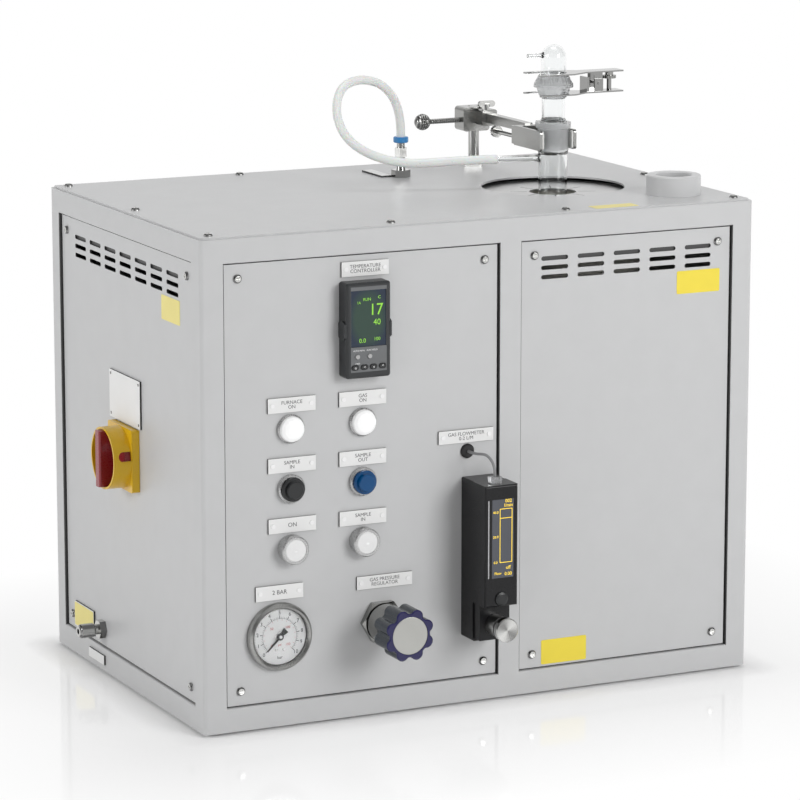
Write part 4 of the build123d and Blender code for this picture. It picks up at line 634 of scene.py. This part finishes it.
def seal_ring(name, radius, thickness, place, body):
    """Black rubber ring of round section."""
    shape = bmesh.new()
    upright = Matrix.Translation((radius, 0, 0)) @ Matrix.Rotation(pi / 2, 4, "X")
    section = bmesh.ops.create_circle(shape, segments=16, radius=thickness, matrix=upright)
    bmesh.ops.spin(shape, geom=section["verts"] + shape.edges[:], cent=(0, 0, 0), axis=(0, 0, 1), angle=2 * pi,
                   steps=64, use_merge=True)
    bmesh.ops.remove_doubles(shape, verts=shape.verts, dist=1e-6)
    return from_bmesh(name, shape, place, "black_rubber", body, smooth=True)


def lettering(name, words, size, place, finish, body="cabinet", width=1.0):
    """Words as a thin relief, centred on a place."""
    font = bpy.data.curves.new(name, "FONT")
    font.body = words
    font.size = size
    font.align_x = "CENTER"
    font.align_y = "CENTER"
    font.extrude = INK / 2
    font.resolution_u = 3
    font.space_line = 0.9
    carrier = bpy.data.objects.new(name + "_carrier", font)
    bpy.context.scene.collection.objects.link(carrier)
    depsgraph = bpy.context.evaluated_depsgraph_get()
    mesh = bpy.data.meshes.new_from_object(carrier.evaluated_get(depsgraph))
    bpy.data.objects.remove(carrier)
    mesh.transform(place @ Matrix.Translation((0, 0, INK / 2)) @ Matrix.Diagonal((width, 1, 1, 1)))
    mesh.name = name
    return finished(name, mesh, finish, body)


def cord_piece(name, route, diameter, finish, node):
    """Smooth round cord along a route, standing for its CAD solid."""
    curve = bpy.data.curves.new(name, "CURVE")
    curve.dimensions = "3D"
    curve.bevel_depth = diameter / 2
    curve.bevel_resolution = 6
    curve.resolution_u = 12
    curve.use_fill_caps = True
    spline = curve.splines.new("NURBS")
    spline.points.add(len(route) - 1)
    for point, spot in zip(spline.points, route):
        point.co = (*spot, 1)
    spline.order_u = 3
    spline.use_endpoint_u = True
    piece = bpy.data.objects.new(name, curve)
    bpy.context.scene.collection.objects.link(piece)
    curve.materials.append(FINISH[finish])
    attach(piece, "cabinet")
    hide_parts(node)
    return piece


# Cords

HOSE_D = 0.0095
HOSE_ROUTE = [
    (0.052, 0.1, 0.5458), (0.052, 0.1, 0.573), (0.031, 0.0925, 0.603), (-0.003, 0.082, 0.614),
    (-0.034, 0.0705, 0.6075), (-0.0465, 0.056, 0.581), (-0.0405, 0.042, 0.555), (-0.018, 0.026, 0.5375),
    (0.014, 0.009, 0.5295), (0.045, -0.001, 0.5305), (0.078, -0.01167, 0.5324), (0.1078, -0.0184, 0.5324),
]
CABLE_D = 0.0029
CABLE_ROUTE = [
    (-0.019, -0.205, 0.2635), (-0.019, -0.2195, 0.2635), (-0.01484, -0.2322, 0.26555),
    (-0.01266, -0.2389, 0.2635), (-0.01095, -0.2441, 0.2587), (-0.01, -0.247, 0.2521), (-0.01, -0.247, 0.2448),
]
HOSE_ROUTE = [CABINET + Vector(spot) for spot in HOSE_ROUTE]
CABLE_ROUTE = [CABINET + Vector(spot) for spot in CABLE_ROUTE]

hose = cord_piece("gas_hose", HOSE_ROUTE, HOSE_D, "silicone", "silicone_hose")
cable = cord_piece("signal_cable", CABLE_ROUTE, CABLE_D, "mid_grey", "meter_cable")


# Engraved labels

LABELS = [
    ("label_controller", "TEMPERATURE\nCONTROLLER", -0.134, 0.46045, 0.0052),
    ("label_heat", "FURNACE\nON", -0.215, 0.329, 0.0052),
    ("label_gas", "GAS\nON", -0.137, 0.329, 0.0052),
    ("label_in", "SAMPLE\nIN", -0.215, 0.268, 0.0052),
    ("label_out", "SAMPLE\nOUT", -0.137, 0.268, 0.0052),
    ("label_on", "ON", -0.215, 0.2065, 0.0062),
    ("label_done", "SAMPLE\nIN", -0.137, 0.2065, 0.0052),
    ("label_bar", "2 BAR", -0.2295, 0.1385, 0.0062),
    ("label_regulator", "GAS PRESSURE\nREGULATOR", -0.113, 0.138, 0.0052),
    ("label_flow", "GAS FLOWMETER\n0-2 L/M", -0.021, 0.2795, 0.0052),
]
PIN_INSET = 0.0048
PIN_R = 0.0023
PIN_H = 0.0008
HALF_LABEL = 0.026
HALF_WIDE_LABEL = 0.031
WIDE_LABELS = ("label_regulator", "label_flow")
for name, words, x, z, size in LABELS:
    lettering(name, words, size, panel_spot(x, z, PLATE_T), "grey_ink")
    reach = (HALF_WIDE_LABEL if name in WIDE_LABELS else HALF_LABEL) - PIN_INSET
    for side in (-1, 1):
        disc(f"{name}_pin_{side + 1}", PIN_R, PIN_H, panel_spot(x + side * reach, z, PLATE_T), "plain_white")


# Pressure gauge

GAUGE = middle("gauge_dial")
DIAL_T = 0.001
DIAL_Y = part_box("gauge_dial")[1].y - DIAL_T
SCALE_START = radians(225)
SCALE_SWEEP = radians(270)
SCALE_R = 0.0185
SCALE_STEPS = 10
NUMBER_R = 0.0247
INNER_NUMBERS = (0, 50, 100, 150)
INNER_NUMBER_R = 0.0125


def scale_angle(share):
    """Angle on the dial of a share of the scale, clockwise from the lower left."""
    return SCALE_START - share * SCALE_SWEEP


def on_dial(x, z):
    """Spot on the dial, from its middle."""
    return on_front(GAUGE.x + x, GAUGE.z + z, DIAL_Y)


def around_dial(radius, share):
    """Spot on the dial at a radius and a share of the scale."""
    angle = scale_angle(share)
    return on_dial(radius * cos(angle), radius * sin(angle))


def dial_marks(name, radius, length, count, thickness, finish, skip=0):
    """Ring of scale marks."""
    shape = bmesh.new()
    for step in range(count + 1):
        if skip and step % skip == 0:
            continue
        slab(shape, length, thickness, INK, (radius + length / 2, 0), scale_angle(step / count))
    return from_bmesh(name, shape, on_dial(0, 0), finish, "cabinet")


def dial_arc(name, radius, thickness, finish):
    """Thin arc under the scale marks."""
    shape = bmesh.new()
    corners = ((0, 0), (thickness, 0), (thickness, INK), (0, INK))
    section = [shape.verts.new((radius + out, 0, up)) for out, up in corners]
    face = shape.faces.new(section)
    bmesh.ops.spin(shape, geom=[face], cent=(0, 0, 0), axis=(0, 0, 1), angle=SCALE_SWEEP, steps=72)
    shape.transform(Matrix.Rotation(scale_angle(1), 4, "Z"))
    return from_bmesh(name, shape, on_dial(0, 0), finish, "cabinet")


dial_marks("dial_major", SCALE_R, 0.0034, SCALE_STEPS, 0.0006, "black_ink")
dial_marks("dial_minor", SCALE_R, 0.0019, SCALE_STEPS * 5, 0.0002, "black_ink", skip=5)
dial_arc("dial_arc", SCALE_R, 0.0002, "black_ink")
dial_marks("dial_inner_marks", SCALE_R - 0.0022, 0.0016, 15, 0.0002, "red_ink")
for step in range(SCALE_STEPS + 1):
    spot = around_dial(NUMBER_R, step / SCALE_STEPS)
    lettering(f"dial_number_{step}", str(step), 0.0054, spot, "black_ink")
for step, number in enumerate(INNER_NUMBERS):
    spot = around_dial(INNER_NUMBER_R, step / (len(INNER_NUMBERS) - 1))
    lettering(f"dial_inner_{number}", str(number), 0.0036, spot, "red_ink")
needle_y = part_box("gauge_needle")[0].y
disc("needle_hub", 0.0022, 0.0006, on_front(GAUGE.x, GAUGE.z, needle_y), "mid_grey", "needle")
for side in (-1, 1):
    disc(f"dial_screw_{side + 1}", 0.0013, 0.0006, on_dial(side * 0.0040, -0.0135), "zinc_and_slant_shade",
         edge=0.0003)
lettering("dial_unit", "bar", 0.0044, on_dial(0, -0.0215), "black_ink")
lettering("dial_inner_unit", "psi", 0.0032, on_dial(0, -0.0085), "red_ink")


# Controller display and keys

SCREEN_LOW, SCREEN_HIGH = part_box("controller_screen")
SCREEN_Y = SCREEN_LOW.y
SCREEN = (SCREEN_LOW + SCREEN_HIGH) / 2


def on_screen(x, z):
    """Spot on the controller's window, from its middle."""
    return on_front(SCREEN.x + x, SCREEN.z + z, SCREEN_Y)


DISPLAY_WORDS = [
    ("display_value", "17", 0.0165, 0.0085, 0.0080, 0.95),
    ("display_setpoint", "40", 0.0085, 0.0095, -0.0045, 0.95),
    ("display_mode", "RUN", 0.0042, -0.0015, 0.0190, 1.0),
    ("display_channel", "1A", 0.0036, -0.0105, 0.0160, 1.0),
    ("display_unit", "C", 0.0045, 0.0120, 0.0205, 1.0),
    ("display_low", "0.0", 0.0062, -0.0065, -0.0225, 1.0),
    ("display_end", "100", 0.0048, 0.0095, -0.0215, 1.0),
]
for name, words, size, x, z, width in DISPLAY_WORDS:
    lettering(name, words, size, on_screen(x, z), "green_segments", width=width)

CASE_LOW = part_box("controller_case")[0]
KEYPAD_WORDS = [
    ("keypad_auto", "AUTO MAN", 0.0023, -0.0110, 0.0282),
    ("keypad_run", "RUN HOLD", 0.0023, 0.0035, 0.0282),
    ("keypad_page", "PAGE", 0.0020, -0.0125, 0.0152),
]
for name, words, size, x, up in KEYPAD_WORDS:
    lettering(name, words, size, on_front(SCREEN.x + x, CASE_LOW.z + up, CASE_LOW.y), "plain_white")

for n, mark in enumerate(("o", "<", "v", "^"), 1):
    key = middle(f"controller_key_{n}")
    face_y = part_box(f"controller_key_{n}")[0].y
    lettering(f"key_mark_{n}", mark, 0.0042, on_front(key.x, key.z, face_y), "plain_white", body=f"key_{n}")


# Flow meter front

COVER_LOW, COVER_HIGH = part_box("meter_cover")
METER = (COVER_LOW + COVER_HIGH) / 2
METER_SCREEN_X = METER.x + 0.0015
METER_SCREEN_Z = COVER_HIGH.z - 0.0553
METER_SCREEN_Y = COVER_LOW.y + 0.0006
METER_GLASS_T = 0.0003
BAR_X = 0.0035
BAR_Z = 0.0030
BAR_W = 0.0135
BAR_H = 0.0555
BAR_LINE = 0.0006
BAR_FILL = 0.0095


def on_meter(x, z):
    """Spot on the flow meter's window, from its middle."""
    return on_front(METER_SCREEN_X + x, METER_SCREEN_Z + z, METER_SCREEN_Y - METER_GLASS_T)


sticker("meter_window", 0.0245, 0.0815, on_front(METER_SCREEN_X, METER_SCREEN_Z, METER_SCREEN_Y), "meter_glass",
        depth=METER_GLASS_T, corner=0.0004)
bars = bmesh.new()
for side in (-1, 1):
    slab(bars, BAR_LINE, BAR_H, INK, (BAR_X + side * BAR_W / 2, BAR_Z))
for level in (-BAR_H / 2, BAR_H / 2, BAR_H / 2 - BAR_FILL):
    slab(bars, BAR_W, BAR_LINE, INK, (BAR_X, BAR_Z + level))
from_bmesh("meter_bar", bars, on_meter(0, 0), "amber_segments", "cabinet")
METER_WORDS = [
    ("meter_top_value", "002\nl/min", 0.0050, 0.0062, 0.0365),
    ("meter_high", "40.0", 0.0036, -0.0082, 0.0275),
    ("meter_half", "20.0", 0.0036, -0.0082, 0.0020),
    ("meter_low", "0.0", 0.0036, -0.0082, -0.0245),
    ("meter_off", "off", 0.0050, 0.0062, -0.0305),
    ("meter_flow", "Flow", 0.0040, -0.0055, -0.0360),
    ("meter_value", "0.00", 0.0048, 0.0062, -0.0370),
]
for name, words, size, x, z in METER_WORDS:
    lettering(name, words, size, on_meter(x, z), "amber_segments")
sticker("meter_strip", 0.0012, 0.0810, on_front(METER.x - 0.0148, METER_SCREEN_Z, COVER_LOW.y), "silver_print",
        depth=0.0002, corner=0.0003)
valve = middle("valve_knob")
seal_ring("valve_ring", 0.0104, 0.0016, on_front(valve.x, valve.z, PANEL_Y - 0.0590), "metering_knob")


# Regulator's face disc

knob = middle("regulator_knob")
knob_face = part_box("regulator_knob")[0].y
disc("regulator_disc", 0.0192, 0.0006, on_front(knob.x, knob.z, knob_face + 0.0008), "disc_steel",
     "regulator_handwheel")


# Plain stickers and the rating plate's rivets

sticker("front_sticker_top", 0.051, 0.024, panel_spot(0.2495, 0.419), "sticker_yellow")
sticker("front_sticker_low", 0.053, 0.026, panel_spot(0.0945, 0.041), "sticker_yellow")
# The lid and side stickers are painted paler, as sheen.
sticker("lid_sticker", 0.050, 0.018, lid_spot(0.156, -0.188), "sheen_pale_yellow")
sticker("gas_sticker", 0.054, 0.025, side_spot(0.128, 0.0435, PLATE_T), "sheen_pale_yellow")
sticker("side_sticker", 0.048, 0.025, side_spot(-0.121, 0.4185), "sheen_pale_yellow")


def rivets(name, places, radius):
    """Low domed rivets."""
    shape = bmesh.new()
    for place in places:
        head = bmesh.ops.create_uvsphere(shape, u_segments=16, v_segments=8, radius=radius)["verts"]
        bmesh.ops.transform(shape, matrix=place @ Matrix.Diagonal((1, 1, 0.5, 1)), verts=head)
    return from_bmesh(name, shape, Matrix.Identity(4), "zinc_and_slant_shade", "cabinet", smooth=True)


rivets("plate_rivets", [side_spot(0.002 + side * 0.038, 0.306 + up * 0.021, PLATE_T)
                        for side in (-1, 1) for up in (-1, 1)], 0.0016)


# Gauge glass

disc("gauge_glass", 0.0288, 0.0010, on_front(GAUGE.x, GAUGE.z, PANEL_Y - 0.0061), "glass",
     edge=0.0001)


# Stage, light and camera

FLOOR_MIRROR = 0.25
CONTACT_SHADE = 0.95
OPEN_SHADE = 0.20
CONTACT_REACH = 0.04
FADE_FROM = 0.05
FADE_TO = 0.32


def beyond(tree, value, low, high):
    """Distance of a value outside the range from low to high."""
    short = combine(tree, "SUBTRACT", low, value)
    past = combine(tree, "SUBTRACT", value, high)
    return most(tree, most(tree, short, past), 0.0)


def stage_floor():
    """Wide white floor. Near the feet it takes shade and mirrors the cabinet faintly."""
    shape = bmesh.new()
    bmesh.ops.create_grid(shape, x_segments=1, y_segments=1, size=20.0)
    mesh = bpy.data.meshes.new("floor")
    shape.to_mesh(mesh)
    shape.free()
    floor = bpy.data.objects.new("floor", mesh)
    floor.location = (0, 0, cad_box[0][2])
    bpy.context.scene.collection.objects.link(floor)
    finish, tree, shader, place = new_finish("floor_white")
    shader.inputs["Base Color"].default_value = (0.96, 0.96, 0.96, 1)
    shader.inputs["Roughness"].default_value = 0.9
    shader.inputs["Specular IOR Level"].default_value = 0.0
    x, y, _ = axes_of(tree, place)
    low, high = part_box("cabinet_frame")
    aside = combine(tree, "POWER", beyond(tree, x, low.x, high.x), 2.0)
    ahead = combine(tree, "POWER", beyond(tree, y, low.y, high.y), 2.0)
    reach = combine(tree, "POWER", combine(tree, "ADD", aside, ahead), 0.5)
    near = spread(tree, reach, 1, 0, FADE_FROM, FADE_TO)
    contact = spread(tree, reach, CONTACT_SHADE, OPEN_SHADE, 0, CONTACT_REACH)
    mirror = tree.nodes.new("ShaderNodeBsdfGlossy")
    mirror.inputs["Roughness"].default_value = 0.07
    white = tree.nodes.new("ShaderNodeEmission")
    path = tree.nodes.new("ShaderNodeLightPath").outputs
    mirrored = most(tree, path["Is Glossy Ray"], path["Is Transmission Ray"])
    unseen = combine(tree, "SUBTRACT", 1.0, most(tree, path["Is Camera Ray"], mirrored))
    polish = join_shaders(tree, times(tree, near, FLOOR_MIRROR), white, mirror)
    shaded = join_shaders(tree, times(tree, near, contact), polish, shader)
    whole = join_shaders(tree, unseen, shaded, shader)
    tree.links.new(whole.outputs[0], tree.nodes["Material Output"].inputs["Surface"])
    mesh.materials.append(finish)


BACKDROP = (0.4346, 0.9006, 0.0)
WORLD_LEVEL = 0.36
LAMPS = [
    ("key", (1.45, -3.2, 1.6), (0, 0, 0.25), 1.7, 74),
    ("side", (-3.5, 0.1, 1.3), (0, 0, 0.25), 1.4, 46),
    ("top", (0.3, 0.5, 3.2), (0, 0, 0.4), 1.4, 22),
]


def world_light(level):
    """Even light all round. Gloss and glass see a white backdrop, a light ceiling and darker sides."""
    world = bpy.data.worlds.new("studio")
    bpy.context.scene.world = world
    world.use_nodes = True
    tree = world.node_tree
    background = tree.nodes["Background"]
    background.inputs["Color"].default_value = (1, 1, 1, 1)
    path = tree.nodes.new("ShaderNodeLightPath").outputs
    direction = tree.nodes.new("ShaderNodeTexCoord").outputs["Generated"]
    towards = tree.nodes.new("ShaderNodeVectorMath")
    towards.operation = "DOT_PRODUCT"
    towards.inputs[1].default_value = BACKDROP
    tree.links.new(direction, towards.inputs[0])
    backdrop = spread(tree, towards.outputs["Value"], 0.12, 1.0, 0.35, 0.80)
    ceiling = spread(tree, axes_of(tree, direction)["Z"], 0.12, 0.6, 0.45, 0.9)
    mirrored = most(tree, path["Is Glossy Ray"], path["Is Transmission Ray"])
    inside = times(tree, mirrored, most(tree, backdrop, ceiling))
    outside = times(tree, combine(tree, "SUBTRACT", 1.0, mirrored), level)
    seen = path["Is Camera Ray"]
    unseen = times(tree, combine(tree, "SUBTRACT", 1.0, seen), combine(tree, "ADD", inside, outside))
    tree.links.new(combine(tree, "ADD", seen, unseen), background.inputs["Strength"])


def soft_box(name, place, target, size, power):
    """Square studio lamp aimed at a point."""
    lamp = bpy.data.lights.new(name, "AREA")
    lamp.size = size
    lamp.energy = power
    carrier = bpy.data.objects.new(name, lamp)
    carrier.location = place
    carrier.rotation_euler = (Vector(target) - Vector(place)).to_track_quat("-Z", "Y").to_euler()
    bpy.context.scene.collection.objects.link(carrier)


CAMERA_PLACE = (-1.7599, -3.6526, 1.0921)
CAMERA_YAW = radians(25.761)
CAMERA_PITCH = radians(-11.353)
CAMERA_LENS = 174.6


def camera():
    """Long lens from the front left, a little above the lid."""
    lens = bpy.data.cameras.new("camera")
    lens.lens = CAMERA_LENS
    lens.sensor_width = 36.0
    lens.clip_end = 60.0
    view = bpy.data.objects.new("camera", lens)
    view.location = CABINET + Vector(CAMERA_PLACE)
    look = Vector((sin(CAMERA_YAW) * cos(CAMERA_PITCH), cos(CAMERA_YAW) * cos(CAMERA_PITCH), sin(CAMERA_PITCH)))
    view.rotation_euler = look.to_track_quat("-Z", "Y").to_euler()
    bpy.context.scene.collection.objects.link(view)
    bpy.context.scene.camera = view


stage_floor()
world_light(WORLD_LEVEL)
for lamp in LAMPS:
    soft_box(*lamp)
camera()
bpy.context.scene.view_settings.view_transform = "Standard"
